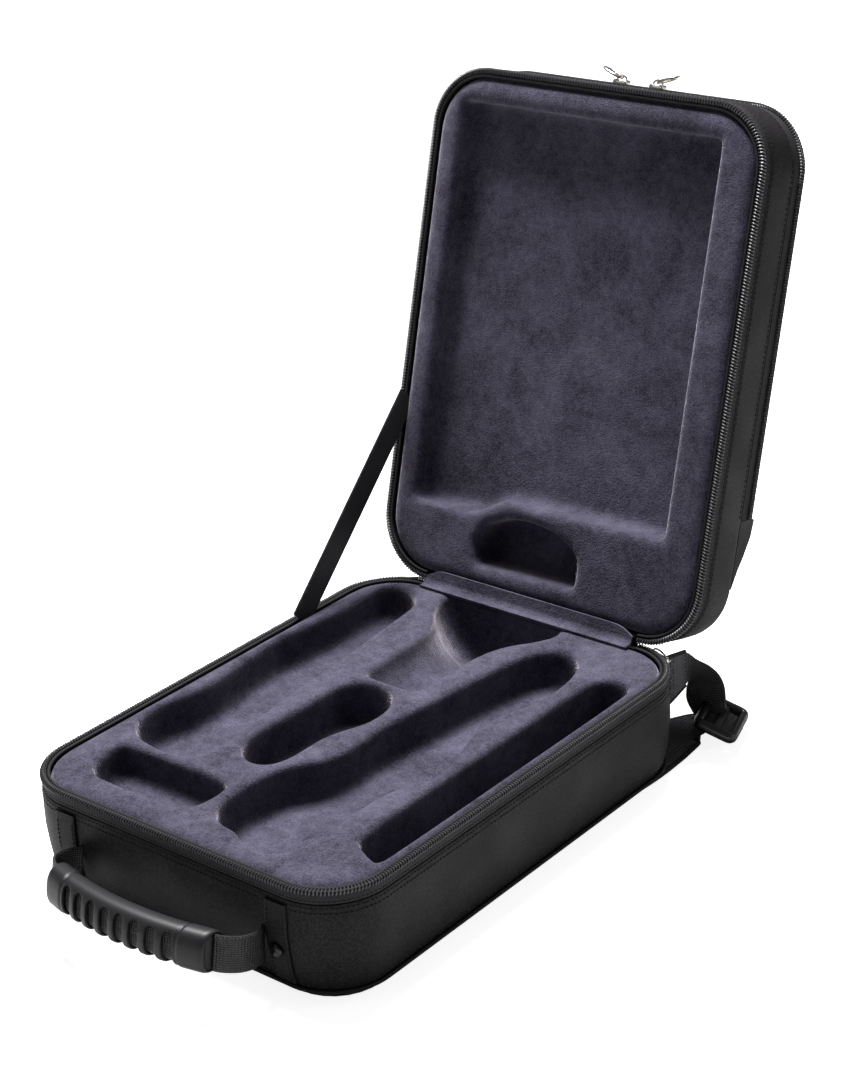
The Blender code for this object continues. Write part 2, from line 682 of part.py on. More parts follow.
def make_pocket(lid, flap):
    lower_tape, lower_coil, upper_coil, flap_foot = pocket_levels()
    top = RIM_HEIGHT + LID_DEPTH
    path = pocket_path(POCKET_TAPE_INSET, POCKET_SPLIT_Y)
    tape = add_part("pocket_zip_tape_lower",
                    loft([at_height(path, lower_tape[0]), at_height(path, lower_tape[1])], closed=False),
                    "tape", lid)
    thicken(tape, TAPE_THICKNESS)
    tooth_path = pocket_path(POCKET_TAPE_INSET + GAP, POCKET_SPLIT_Y)
    tube("pocket_zip_teeth_lower", at_height(tooth_path, lower_coil), POCKET_TOOTH_RADIUS, "coil", lid)
    tube("pocket_zip_teeth_upper", at_height(tooth_path, upper_coil), POCKET_TOOTH_RADIUS, "coil", flap)

    edge = top - flap_foot
    rings = []
    for rise, inwards in FLAP_PROFILE_SHARES:
        inset = POCKET_WALL_INSET + edge * inwards
        rings.append(at_height(pocket_path(inset, POCKET_SPLIT_Y), flap_foot + edge * rise))
    cover = add_part("pocket_flap", loft(rings, cap_last=True), "fabric", flap)
    thicken(cover, POCKET_SHEET)
    shade_round(cover)

    tape_top = flap_foot + edge * POCKET_TAPE_SHARE
    outer = pocket_path(POCKET_TAPE_INSET, POCKET_SPLIT_Y)
    upper_tape = add_part("pocket_zip_tape_upper",
                          loft([at_height(outer, flap_foot), at_height(outer, tape_top)], closed=False),
                          "tape", flap)
    thicken(upper_tape, TAPE_THICKNESS)
    make_pocket_end(lid)


def make_pocket_end(lid):
    """The sewn lower end of the pocket, which slopes down to the lid."""
    floor = RIM_HEIGHT + PANEL_DEPTH + GAP
    rise = LID_DEPTH - PANEL_DEPTH - GAP
    start = POCKET_SPLIT_Y + GAP * 2
    reach = HALF_WIDTH - POCKET_TAPE_INSET

    def side_ring(x, thin):
        ring = []
        for along, up in POCKET_END_SHARES:
            y = start + along * HALF_LENGTH - thin
            z = floor + up * rise - thin
            ring.append(Vector((x, y, z)))
        return ring

    body = loft([side_ring(reach, 0.0), side_ring(-reach, 0.0)], cap_first=True, cap_last=True)
    hollow = loft([side_ring(reach - POCKET_SHEET, POCKET_SHEET),
                   side_ring(-reach + POCKET_SHEET, POCKET_SHEET)], cap_first=True, cap_last=True)
    end = add_part("pocket_lower_end", facing_out(body), "fabric", lid)
    cut(end, add_cutter("pocket_lower_hollow", facing_out(hollow), lid))
    shade_round(end)
    return end


# Sliders and pulls

def make_slider(name, centre, outward, carrier, pull_carrier, pull_side, kind):
    """A zip slider on a wall that faces +Y or -Y, with a bridge that holds a loose pull."""
    x, y, z = centre
    foot = y + outward * GAP
    crown = foot + outward * SLIDER_HEIGHT
    bridge_top = crown + outward * BRIDGE_RISE
    body = block(name, (x - SLIDER_LENGTH / 2, min(foot, crown), z - SLIDER_WIDTH / 2),
                 (x + SLIDER_LENGTH / 2, max(foot, crown), z + SLIDER_WIDTH / 2), kind, carrier)
    bridge_foot = crown - outward * SLIDER_EDGE
    bridge = block(name + "_bridge",
                   (x - BRIDGE_LENGTH / 2, min(bridge_foot, bridge_top), z - BRIDGE_THICKNESS / 2),
                   (x + BRIDGE_LENGTH / 2, max(bridge_foot, bridge_top), z + BRIDGE_THICKNESS / 2),
                   None, carrier, cutter=True)
    window_top = bridge_top - outward * BRIDGE_WALL
    window_foot = crown - outward * GAP / 2
    window = block(name + "_window",
                   (x - BRIDGE_LENGTH / 2 + BRIDGE_WALL, min(window_foot, window_top), z - BRIDGE_THICKNESS),
                   (x + BRIDGE_LENGTH / 2 - BRIDGE_WALL, max(window_foot, window_top), z + BRIDGE_THICKNESS),
                   None, carrier, cutter=True)
    round_edges(body, SLIDER_EDGE)
    cut(body, bridge, "UNION")
    cut(body, window)
    pull_y = (crown + window_top) / 2
    reach = PULL_LENGTH - PULL_WIRE_RADIUS * 2
    half = PULL_WIDTH / 2 - PULL_WIRE_RADIUS
    nose = half * PULL_NOSE_SHARE
    foot_half = half * PULL_FOOT_SHARE
    loop = [Vector((x, pull_y, z - foot_half)), Vector((x, pull_y, z + foot_half))]
    for across, along in PULL_SIDE_SHARES:
        loop.append(Vector((x + pull_side * reach * along, pull_y, z + half * across)))
    for step in range(PULL_NOSE_STEPS + 1):
        angle = pi / 2 - pi * step / PULL_NOSE_STEPS
        loop.append(Vector((x + pull_side * (reach - nose + nose * cos(angle)), pull_y,
                            z + half * sin(angle))))
    for across, along in reversed(PULL_SIDE_SHARES):
        loop.append(Vector((x + pull_side * reach * along, pull_y, z - half * across)))
    tube(name.replace("slider", "pull"), loop, PULL_WIRE_RADIUS, kind, pull_carrier, cyclic=True)


def slider_pivot(centre, outward):
    """The axis of a slider's pull, in the middle of its bridge's window."""
    x, y, z = centre
    crown = y + outward * (GAP + SLIDER_HEIGHT)
    return (x, crown + outward * (BRIDGE_RISE - BRIDGE_WALL) / 2, z)


def make_sliders(lid):
    """Two sliders on the pocket's zip, and two on the main zip, each at one of its rear corners."""
    lower_tape, lower_coil, upper_coil, flap_foot = pocket_levels()
    for side in (-1, 1):
        word = side_name(side)
        centre = (side * POCKET_SLIDER_SPREAD / 2, -HALF_LENGTH, (lower_coil + upper_coil) / 2)
        slide = Carrier("pocket_slider_axis_" + word, centre, 0.0, lid)
        pivot = Carrier("pocket_pull_axis_" + word, slider_pivot(centre, -1), 0.0, slide,
                        yaw=-side * PULL_LIFT)
        make_slider("pocket_slider_" + word, centre, -1, slide, pivot, side, "nickel")
        height = SEAM_HEIGHT + TAPE_BAND * MAIN_SLIDER_SHARE
        corner_x = side * (HALF_WIDTH - CORNER_RADIUS)
        centre = (corner_x, HALF_LENGTH, height)
        slide = Carrier("main_slider_axis_" + word, (corner_x, HALF_LENGTH - CORNER_RADIUS, height),
                        yaw=-side * MAIN_SLIDER_TURN)
        pivot = Carrier("main_pull_axis_" + word, slider_pivot(centre, 1), 0.0, slide)
        make_slider("main_slider_" + word, centre, 1, slide, pivot, -side, "nickel")


def side_name(side):
    return "right" if side > 0 else "left"


# Handle on the short wall

def wall_y(height):
    return -(HALF_LENGTH - inset_at(height))


def corner_wall_y(x, height):
    """The hinge wall's face at a place along it, inside one of its rounded corners."""
    past_straight = abs(x) - (HALF_WIDTH - CORNER_RADIUS)
    radius = CORNER_RADIUS - inset_at(height)
    return HALF_LENGTH - CORNER_RADIUS + (radius * radius - past_straight * past_straight) ** 0.5


def bow(x):
    """How far the grip stands out from its pivot line at a place along it."""
    share = x / (GRIP_LENGTH / 2)
    return HANDLE_REACH - GRIP_BOW * share * share


def bent_bar(length, height, thickness, steps, sides, pivot):
    """A bar along X whose middle stands further out: flat when it has four sides, else round."""
    rings = []
    for step in range(steps + 1):
        x = (step / steps - 0.5) * length
        ring = []
        for k in range(sides):
            angle = 2 * pi * (k + 0.5) / sides
            reach = 1 / cos(pi / sides) if sides == FLAT_SIDES else 1.0
            out = bow(x) + reach * thickness / 2 * cos(angle)
            up = reach * height / 2 * sin(angle)
            ring.append(Vector((x, pivot.y - out, pivot.z + up)))
        rings.append(ring)
    return facing_out(loft(rings, cap_first=True, cap_last=True))


def make_handle():
    pivot = Vector((0.0, wall_y(HANDLE_PIVOT_HEIGHT), HANDLE_PIVOT_HEIGHT))
    carrier = Carrier("handle_axis", pivot, -HANDLE_ANGLE)
    round_bar = bent_bar(GRIP_LENGTH, GRIP_HEIGHT, GRIP_THICKNESS, GRIP_STEPS, GRIP_SIDES, pivot)
    grip = add_part("handle_grip", round_bar, "rubber", carrier)
    channel = bent_bar(GRIP_LENGTH + OVERRUN, WEBBING_WIDTH + GAP * 2, WEBBING_THICKNESS * 2 + GAP * 2,
                       GRIP_STEPS, FLAT_SIDES, pivot)
    channel_cutter = add_cutter("grip_channel", channel, carrier)
    cut(grip, channel_cutter)
    for slot in range(GRIP_SLOTS):
        x = (slot - (GRIP_SLOTS - 1) / 2) * GRIP_SLOT_PITCH
        inner = pivot.y - bow(x)
        outer = inner - GRIP_THICKNESS
        half = GRIP_SLOT_WIDTH / 2
        reach = GRIP_HEIGHT * GRIP_SLOT_HEIGHT_SHARE
        cut(grip, block("grip_slot_" + str(slot), (x - half, outer, pivot.z - reach),
                        (x + half, inner, pivot.z + reach), None, carrier, cutter=True))
    shade_round(grip)
    flat_bar = bent_bar(GRIP_LENGTH, WEBBING_WIDTH, WEBBING_THICKNESS * 2, GRIP_STEPS, FLAT_SIDES, pivot)
    add_part("handle_core", flat_bar, "webbing", carrier)
    for side in (-1, 1):
        make_handle_end(side, pivot)


def make_handle_end(side, pivot):
    """The flexible webbing between the wall and the grip, its sewn tab and its rivet."""
    word = side_name(side)
    grip_end = GRIP_LENGTH / 2 + GAP * 2
    spread = HANDLE_HALF_SPAN - grip_end
    end_reach = bow(GRIP_LENGTH / 2)
    lean = Vector((0.0, -cos(HANDLE_ANGLE), sin(HANDLE_ANGLE)))
    upright = Vector((0.0, sin(HANDLE_ANGLE), cos(HANDLE_ANGLE)))
    level = Vector((0.0, 0.0, 1.0))
    stations = []
    for out_share, spread_share, turn_share in HANDLE_WEB_SHARES:
        centre = pivot + lean * (end_reach * out_share)
        centre.x = side * (grip_end + spread * spread_share)
        stations.append((centre, level.lerp(upright, turn_share), WEBBING_WIDTH))
    ribbon("handle_webbing_" + word, stations, WEBBING_THICKNESS, "webbing")
    make_handle_tab(side)
    make_rivet(side)


def make_handle_tab(side):
    """The strip sewn up the wall over the end of the webbing."""
    tab_x = side * (HANDLE_HALF_SPAN + TAB_WIDTH / 2)
    low, high = RIM_HEIGHT * TAB_FOOT_SHARE, SEAM_HEIGHT - WALL
    rings = []
    for height in profile_heights(low, high):
        y = wall_y(height) - GAP
        rings.append([Vector((tab_x - TAB_WIDTH / 2, y, height)),
                      Vector((tab_x + TAB_WIDTH / 2, y, height))])
    tab = add_part("handle_tab_" + side_name(side), loft(rings, closed=False), "fabric")
    thicken(tab, TAB_THICKNESS, 1.0)


def make_rivet(side):
    """The domed head of the rivet through the tab, the webbing and the wall."""
    centre_x = side * (HANDLE_HALF_SPAN + TAB_WIDTH / 2)
    outermost = min(wall_y(HANDLE_PIVOT_HEIGHT + reach) for reach in (-RIVET_RADIUS, 0.0, RIVET_RADIUS))
    foot = outermost - GAP * 3 - TAB_THICKNESS
    rings = []
    for radius_share, rise in RIVET_PROFILE_SHARES:
        radius = RIVET_RADIUS * radius_share
        ring = []
        for step in range(RIVET_SIDES):
            angle = 2 * pi * step / RIVET_SIDES
            ring.append(Vector((centre_x + radius * cos(angle), foot - RIVET_HEIGHT * rise,
                                HANDLE_PIVOT_HEIGHT + radius * sin(angle))))
        rings.append(ring)
    head = facing_out(loft(rings, cap_first=True, cap_last=True))
    shade_round(add_part("handle_rivet_" + side_name(side), head, "black_metal"))


# Shoulder straps

def pad_stations(side):
    """Centre, direction across and width along a shoulder pad."""
    centres = []
    for x, y, width, lift in PAD_STATION_SHARES:
        height = GAP + STRAP_PAD_THICKNESS / 2 + STRAP_PAD_THICKNESS * lift
        centres.append((Vector((side * x * HALF_WIDTH, y * HALF_LENGTH, height)), width * STRAP_PAD_WIDTH))
    stations = []
    for i, (centre, width) in enumerate(centres):
        ahead = centres[min(i + 1, len(centres) - 1)][0]
        behind = centres[max(i - 1, 0)][0]
        along = (ahead - behind).normalized()
        stations.append((centre, Vector((along.y, -along.x, 0.0)), width))
    return stations


def make_shoulder_strap(side):
    word = side_name(side)
    pad = ribbon("shoulder_pad_" + word, pad_stations(side), STRAP_PAD_THICKNESS, "mesh")
    round_edges(pad, STRAP_PAD_EDGE)
    shade_round(pad)
    make_buckle(side)
    make_strap_webbing(side)


def buckle_place(side):
    """Where the ladder buckle sits past the pad's narrow end, and how it is turned."""
    end, across, width = pad_stations(side)[-1]
    before = pad_stations(side)[-2][0]
    along = (end - before).normalized()
    middle = end + along * (BUCKLE_WIDTH / 2 + GAP)
    bar = Vector(across).normalized()
    return middle, bar, along, bar.cross(along).normalized()


def make_buckle(side):
    """A ladder lock: an oblong frame with a middle bar, its long side across the strap."""
    word = side_name(side)
    middle, bar, along, normal = buckle_place(side)
    turn = Matrix((bar, along, normal)).transposed().to_4x4()
    place = Matrix.Translation(middle) @ turn
    windows = []
    half_l, half_w, half_t = BUCKLE_LENGTH / 2, BUCKLE_WIDTH / 2, BUCKLE_THICKNESS / 2
    frame = block("strap_buckle_" + word, (-half_l, -half_w, -half_t), (half_l, half_w, half_t), "plastic")
    frame.data.transform(place)
    inner_l = half_l - BUCKLE_BAR
    for end in (-1, 1):
        near, far = sorted((end * BUCKLE_BAR / 2, end * (half_w - BUCKLE_BAR)))
        window = block("buckle_window_" + word + str(end), (-inner_l, near, -BUCKLE_THICKNESS),
                       (inner_l, far, BUCKLE_THICKNESS), None, cutter=True)
        window.data.transform(place)
        windows.append(window)
    round_edges(frame, SLIDER_EDGE)
    for window in windows:
        cut(frame, window)
    return frame


def make_strap_webbing(side):
    """A fabric wing on the hinge wall and the webbing from its tip down to the buckle."""
    word = side_name(side)
    upright = Vector((0.0, 0.0, 1.0))
    middle, bar, along, normal = buckle_place(side)
    root_x = HALF_WIDTH * WING_ROOT_SHARE
    root_height = SEAM_HEIGHT - WING_CLEARANCE - WING_ROOT_WIDTH / 2
    wall = max(corner_wall_y(root_x - STRAP_WING_THICKNESS, height)
               for height in profile_heights(root_height - WING_ROOT_WIDTH / 2, root_height + WING_ROOT_WIDTH / 2))
    root = Vector((side * root_x, wall + GAP, root_height))
    tip = Vector((side * HALF_WIDTH * WING_TIP_SHARES[0], HALF_LENGTH * WING_TIP_SHARES[1],
                  RIM_HEIGHT * WING_TIP_SHARES[2]))
    wing = [(root, upright, WING_ROOT_WIDTH),
            (root.lerp(tip, 0.5), upright, (WING_ROOT_WIDTH + STRAP_WEB_WIDTH) / 2),
            (tip, upright, STRAP_WEB_WIDTH)]
    ribbon("strap_wing_" + word, wing, STRAP_WING_THICKNESS, "fabric")

    start = tip + (tip - root).normalized() * (GAP * 3)
    top = middle + upright * (BUCKLE_THICKNESS / 2 + STRAP_WEB_THICKNESS / 2 + GAP * 2)
    span = top - start
    stations = [(start, upright, STRAP_WEB_WIDTH)]
    for share, out, rise, twist in STRAP_WEB_SHARES:
        centre = start + span * share
        centre += Vector((side * STRAP_WEB_WIDTH * out, STRAP_WEB_WIDTH * out, RIM_HEIGHT * rise))
        across = upright.lerp(Vector((bar.x * side, bar.y * side, bar.z)) * bar_sign(side, bar), twist)
        stations.append((centre, across, STRAP_WEB_WIDTH))
    stations.append((top, bar * bar_sign(side, bar) * side, STRAP_WEB_WIDTH))
    ribbon("strap_webbing_" + word, stations, STRAP_WEB_THICKNESS, "webbing")


def bar_sign(side, bar):
    """Keeps the webbing from turning over as it twists into the buckle."""
    return side if bar.y < 0 else -side


# Fabric across the hinge, and the stay

def from_lid(point):
    """A point of the shut lid, moved to where the open lid holds it."""
    pivot = Vector((0.0, HINGE_Y, HINGE_Z))
    return pivot + Matrix.Rotation(-OPEN_ANGLE, 3, "X") @ (Vector(point) - pivot)


def hinge_strip(name, centre_line, kind):
    """A sheet as wide as the hinge, along a line seen from the side."""
    rings = [[Vector((-HINGE_HALF_WIDTH, y, z)), Vector((HINGE_HALF_WIDTH, y, z))]
             for y, z in centre_line]
    strip = add_part(name, loft(rings, closed=False), kind)
    thicken(strip, HINGE_SHEET, 0.0)
    return strip


def make_hinge_sheets():
    clear = HINGE_SHEET / 2 + GAP
    outside = HALF_LENGTH + clear - inset_at(SEAM_HEIGHT)
    lid_near = from_lid((0.0, HALF_LENGTH + clear + GAP, RIM_HEIGHT + TAPE_BAND + GAP))
    lid_far = from_lid((0.0, HALF_LENGTH + clear + GAP, RIM_HEIGHT + PANEL_DEPTH * HINGE_REACH_SHARE))
    outer = ((outside + GAP * 3, SEAM_HEIGHT - TAPE_BAND), (outside, SEAM_HEIGHT),
             (outside, RIM_HEIGHT - LIP_DROP), (outside + clear * 2, lid_near.z - GAP),
             (lid_near.y, lid_near.z), (lid_far.y, lid_far.z))
    hinge_strip("hinge_fabric", outer, "fabric")
    edge = HALF_LENGTH - INSERT_INSET
    top = INSERT_TOP + clear + GAP
    face = from_lid((0.0, edge - INSERT_EDGE_RADIUS, RIM_HEIGHT + INSERT_DROP - clear - GAP))
    middle = from_lid((0.0, edge - INSERT_EDGE_RADIUS * LINER_FOLD_SHARE, RIM_HEIGHT - clear - GAP))
    inner = ((edge - INSERT_EDGE_RADIUS * LINER_REACH_SHARE, top),
             (edge - INSERT_EDGE_RADIUS * LINER_BEND_SHARE, top + GAP),
             ((edge + middle.y) / 2 - GAP, (top + middle.z) / 2), (middle.y, middle.z), (face.y, face.z))
    hinge_strip("hinge_liner", inner, "plush")


def make_stay():
    """The flat strap on the left that stops the lid."""
    x = -(HALF_WIDTH - STAY_INSET)
    base_y, lid_y = HALF_LENGTH * STAY_BASE_SHARE, HALF_LENGTH * STAY_LID_SHARE
    low = Vector((x, base_y, RIM_HEIGHT - STAY_SINK))
    high = from_lid((x, lid_y, RIM_HEIGHT + STAY_SINK))
    across_low = Vector((0.0, 1.0, 0.0))
    across_high = from_lid((x, lid_y + STAY_WIDTH, RIM_HEIGHT)) - from_lid((x, lid_y, RIM_HEIGHT))
    stations = []
    for share in STAY_SHARES:
        across = across_low.lerp(across_high.normalized(), share)
        stations.append((low.lerp(high, share), across, STAY_WIDTH))
    ribbon("stay_strap", stations, STAY_THICKNESS, "webbing")


clear_scene()
PARTS = new_collection("clarinet_case")
CUTTERS = new_collection("cutters")

make_back_panel()
make_base_shell()
make_base_piping()
make_zip("base", RIM_HEIGHT, -1.0)
make_base_insert()

LID = Carrier("lid_axis", (0.0, HINGE_Y, HINGE_Z), -OPEN_ANGLE)
FLAP = Carrier("flap_axis", (0.0, POCKET_SPLIT_Y + GAP, RIM_HEIGHT + LID_DEPTH), 0.0, LID)
make_lid_shell(LID)
make_lid_insert(LID)
make_zip("lid", RIM_HEIGHT, 1.0, LID)
make_pocket(LID, FLAP)
make_sliders(LID)
make_handle()
for strap_side in (-1, 1):
    make_shoulder_strap(strap_side)
make_hinge_sheets()
make_stay()
bpy.context.view_layer.update()
print("clarinet case:", len([item for item in PARTS.objects if item.type == "MESH"]), "pieces")
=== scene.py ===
from math import cos, pi, radians, sin

import bmesh
import bpy
from mathutils import Matrix, Vector


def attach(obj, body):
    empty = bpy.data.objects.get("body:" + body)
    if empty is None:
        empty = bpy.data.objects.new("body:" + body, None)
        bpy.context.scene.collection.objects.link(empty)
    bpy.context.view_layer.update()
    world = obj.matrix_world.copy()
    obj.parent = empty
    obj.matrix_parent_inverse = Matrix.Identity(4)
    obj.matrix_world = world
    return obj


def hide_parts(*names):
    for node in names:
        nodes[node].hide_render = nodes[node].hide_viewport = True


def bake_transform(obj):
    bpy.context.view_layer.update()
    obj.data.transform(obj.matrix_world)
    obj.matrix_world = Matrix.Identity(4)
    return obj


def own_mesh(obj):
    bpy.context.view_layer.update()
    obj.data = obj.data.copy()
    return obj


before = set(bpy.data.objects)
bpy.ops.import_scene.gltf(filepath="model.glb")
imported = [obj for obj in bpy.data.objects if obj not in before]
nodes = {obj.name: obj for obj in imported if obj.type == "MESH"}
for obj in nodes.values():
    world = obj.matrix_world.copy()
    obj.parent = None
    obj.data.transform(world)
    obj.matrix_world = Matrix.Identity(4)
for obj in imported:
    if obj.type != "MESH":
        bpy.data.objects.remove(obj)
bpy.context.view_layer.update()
print("frame loaded")


def turnAbout(point, angle, axis):
    return Matrix.Translation(point) @ Matrix.Rotation(angle, 4, axis) @ Matrix.Translation(-point)


# The case's own measures, in metres. The lid is drawn shut and then opened by lidOpened.
case = {
    "halfWidth": 0.132, "halfLength": 0.177, "rim": 0.079, "lidDepth": 0.057, "radius": 0.042,
    "bottomInset": 0.0125, "zipEnd": 0.0891, "pocketSplit": 0.0885, "panel": 0.0399,
}
lidOpened = turnAbout(Vector((0.0, 0.1754, 0.082)), -radians(105.6), "X")
sides = ((-1, "left"), (1, "right"))
straightStep = 0.012
coilStep = 0.004

# Wall of the base: share of the rim height, share of the bottom inset
wallShares = (
    (0.0, 1.0), (0.025, 0.74), (0.06, 0.55), (0.11, 0.40), (0.16, 0.29), (0.24, 0.15),
    (0.36, 0.04), (0.55, -0.06), (0.72, -0.05), (0.86, 0.0), (1.0, 0.0),
)


# Colours and materials

def toLinear(hexColour):
    values = []
    for start in (1, 3, 5):
        part = int(hexColour[start:start + 2], 16) / 255
        values.append(part / 12.92 if part <= 0.04045 else ((part + 0.055) / 1.055) ** 2.4)
    return (*values, 1.0)


# An input's own value, or the socket that drives it
def feed(item, key, value):
    if isinstance(value, bpy.types.NodeSocket):
        item.id_data.links.new(value, item.inputs[key])
    else:
        item.inputs[key].default_value = value


# One shader node, its settings, and its inputs given as values or as other nodes' sockets
def addNode(tree, kind, inputs=None, **settings):
    item = tree.nodes.new(kind)
    for key, value in settings.items():
        setattr(item, key, value)
    for key, value in (inputs or {}).items():
        feed(item, key, value)
    return item


def newMaterial(name, colour, roughness, metallic=0.0, specular=0.5):
    material = bpy.data.materials.new(name)
    material.use_nodes = True
    tree = material.node_tree
    shader = tree.nodes["Principled BSDF"]
    feed(shader, "Base Color", toLinear(colour))
    feed(shader, "Roughness", roughness)
    feed(shader, "Metallic", metallic)
    feed(shader, "Specular IOR Level", specular)
    return material, tree, shader


def objectSpace(tree):
    return addNode(tree, "ShaderNodeTexCoord").outputs["Object"]


def noise(tree, vector, featureSize, detail=2.0, distort=0.0):
    inputs = {"Vector": vector, "Scale": 1 / featureSize, "Detail": detail, "Distortion": distort}
    return addNode(tree, "ShaderNodeTexNoise", inputs).outputs["Fac"]


def remap(tree, value, low, high, newLow, newHigh):
    inputs = {"Value": value, "From Min": low, "From Max": high, "To Min": newLow, "To Max": newHigh}
    return addNode(tree, "ShaderNodeMapRange", inputs).outputs["Result"]


def calculate(tree, operation, first, second=0.0):
    return addNode(tree, "ShaderNodeMath", {0: first, 1: second}, operation=operation).outputs[0]


def colourBetween(tree, factor, dark, light):
    return addNode(tree, "ShaderNodeMix", {0: factor, 6: toLinear(dark), 7: toLinear(light)},
                   data_type="RGBA").outputs[2]


def bump(tree, height, distance, strength=1.0, under=None):
    inputs = {"Height": height, "Distance": distance, "Strength": strength}
    if under is not None:
        inputs["Normal"] = under
    return addNode(tree, "ShaderNodeBump", inputs).outputs["Normal"]


# Black nylon, PVC coated and calendered: a fine leather-like grain over soft waviness
def coatedNylon():
    material, tree, shader = newMaterial("calendered_coated_nylon", "#171618", 0.52, specular=0.09)
    place = objectSpace(tree)
    grain = noise(tree, place, 0.0013, 3.0)
    wave = noise(tree, place, 0.035, 1.0)
    under = bump(tree, wave, 0.0016, 0.5)
    feed(shader, "Normal", bump(tree, grain, 0.0002, 0.7, under))
    feed(shader, "Roughness", remap(tree, wave, 0.3, 0.7, 0.52, 0.64))
    shade = remap(tree, grain, 0.36, 0.64, 0.0, 1.0)
    feed(shader, "Base Color", colourBetween(tree, shade, "#0b0a0b", "#1f1d1f"))
    return material


# Knitted velour with a brushed nap: broad soft patches lie light or dark, with fine fibre grain over them
def plushVelour():
    material, tree, shader = newMaterial("brushed_knit_velour", "#474553", 0.95, specular=0.1)
    place = objectSpace(tree)
    patch = noise(tree, place, 0.05, 2.0, 1.0)
    mottle = noise(tree, place, 0.006, 3.0, 0.5)
    pile = noise(tree, place, 0.0010, 3.0)
    weighed = [calculate(tree, "MULTIPLY", part, share)
               for part, share in ((patch, 0.36), (mottle, 0.26), (pile, 0.50))]
    mixed = calculate(tree, "ADD", calculate(tree, "ADD", weighed[0], weighed[1]), weighed[2])
    shade = remap(tree, mixed, 0.41, 0.71, 0.0, 1.0)
    feed(shader, "Base Color", colourBetween(tree, shade, "#1b1a23", "#454352"))
    under = bump(tree, mottle, 0.0010, 0.4)
    feed(shader, "Normal", bump(tree, pile, 0.0007, 1.0, under))
    feed(shader, "Sheen Roughness", 0.35)
    feed(shader, "Sheen Weight", remap(tree, mixed, 0.42, 0.70, 0.45, 1.0))
    feed(shader, "Sheen Tint", toLinear("#b0a8b3"))
    return material


# Polyester tape woven on a needle loom, with a herringbone of fine ribs. Its map is in metres
def wovenTape(name, dark, light, rib, slant):
    material, tree, shader = newMaterial(name, dark, 0.72, specular=0.2)
    place = addNode(tree, "ShaderNodeUVMap", uv_map="metres").outputs["UV"]
    split = addNode(tree, "ShaderNodeSeparateXYZ", {0: place})
    zigzag = calculate(tree, "PINGPONG", split.outputs["Y"], slant)
    phase = calculate(tree, "MULTIPLY", calculate(tree, "ADD", split.outputs["X"], zigzag), 2 * pi / rib)
    ridge = calculate(tree, "SINE", phase)
    height = remap(tree, ridge, -1.0, 1.0, 0.0, 1.0)
    feed(shader, "Normal", bump(tree, height, 0.00012, 0.8))
    # Colour follows the ribs' height: painted highlight on the rib tops (light) and painted shade in the
    # hollows between them (dark)
    feed(shader, "Base Color", colourBetween(tree, height, dark, light))
    return material


# Heavy webbing in a plain weave: cords cross over and under. Its map is in metres
def plainWebbing(name, colour, light, pitchAlong, pitchAcross):
    material, tree, shader = newMaterial(name, colour, 0.5)
    place = addNode(tree, "ShaderNodeUVMap", uv_map="metres").outputs["UV"]
    split = addNode(tree, "ShaderNodeSeparateXYZ", {0: place})
    along = calculate(tree, "SINE", calculate(tree, "MULTIPLY", split.outputs["X"], pi / pitchAlong))
    across = calculate(tree, "SINE", calculate(tree, "MULTIPLY", split.outputs["Y"], pi / pitchAcross))
    crossing = calculate(tree, "MULTIPLY", along, across)
    height = calculate(tree, "ABSOLUTE", crossing)
    fibre = noise(tree, objectSpace(tree), 0.0004, 2.0)
    both = calculate(tree, "ADD", height, calculate(tree, "MULTIPLY", fibre, 0.35))
    feed(shader, "Normal", bump(tree, both, 0.0006, 1.0))
    # Colour follows the cords' height: painted highlight where the cords rise (light) and painted shade where
    # they cross under (colour)
    feed(shader, "Base Color", colourBetween(tree, height, colour, light))
    return material


# Warp knitted spacer mesh: rows of round holes in black polyester
def airMesh():
    material, tree, shader = newMaterial("warp_knit_spacer_mesh", "#1b1b1d", 0.8)
    inputs = {"Vector": objectSpace(tree), "Scale": 1 / 0.0028, "Randomness": 0.2}
    cells = addNode(tree, "ShaderNodeTexVoronoi", inputs).outputs["Distance"]
    hole = remap(tree, cells, 0.22, 0.40, 0.0, 1.0)
    feed(shader, "Normal", bump(tree, hole, 0.0007, 0.9))
    # The holes are painted near black, as painted shade inside them; the knit between them keeps the lighter
    # grey
    feed(shader, "Base Color", colourBetween(tree, hole, "#020203", "#36363a"))
    return material


# A moulded part whose skin has the fine grain of its spark-eroded tool
def moulded(name, colour, roughness, specular, grainSize, detail, depth, strength):
    material, tree, shader = newMaterial(name, colour, roughness, specular=specular)
    grain = noise(tree, objectSpace(tree), grainSize, detail)
    feed(shader, "Normal", bump(tree, grain, depth, strength))
    return material


# Zinc alloy, die cast and barrel plated in nickel
def platedNickel():
    material, tree, shader = newMaterial("barrel_plated_nickel", "#cfccc6", 0.2, 1.0)
    scuff = noise(tree, objectSpace(tree), 0.002, 3.0)
    feed(shader, "Roughness", remap(tree, scuff, 0.3, 0.7, 0.16, 0.28))
    return material



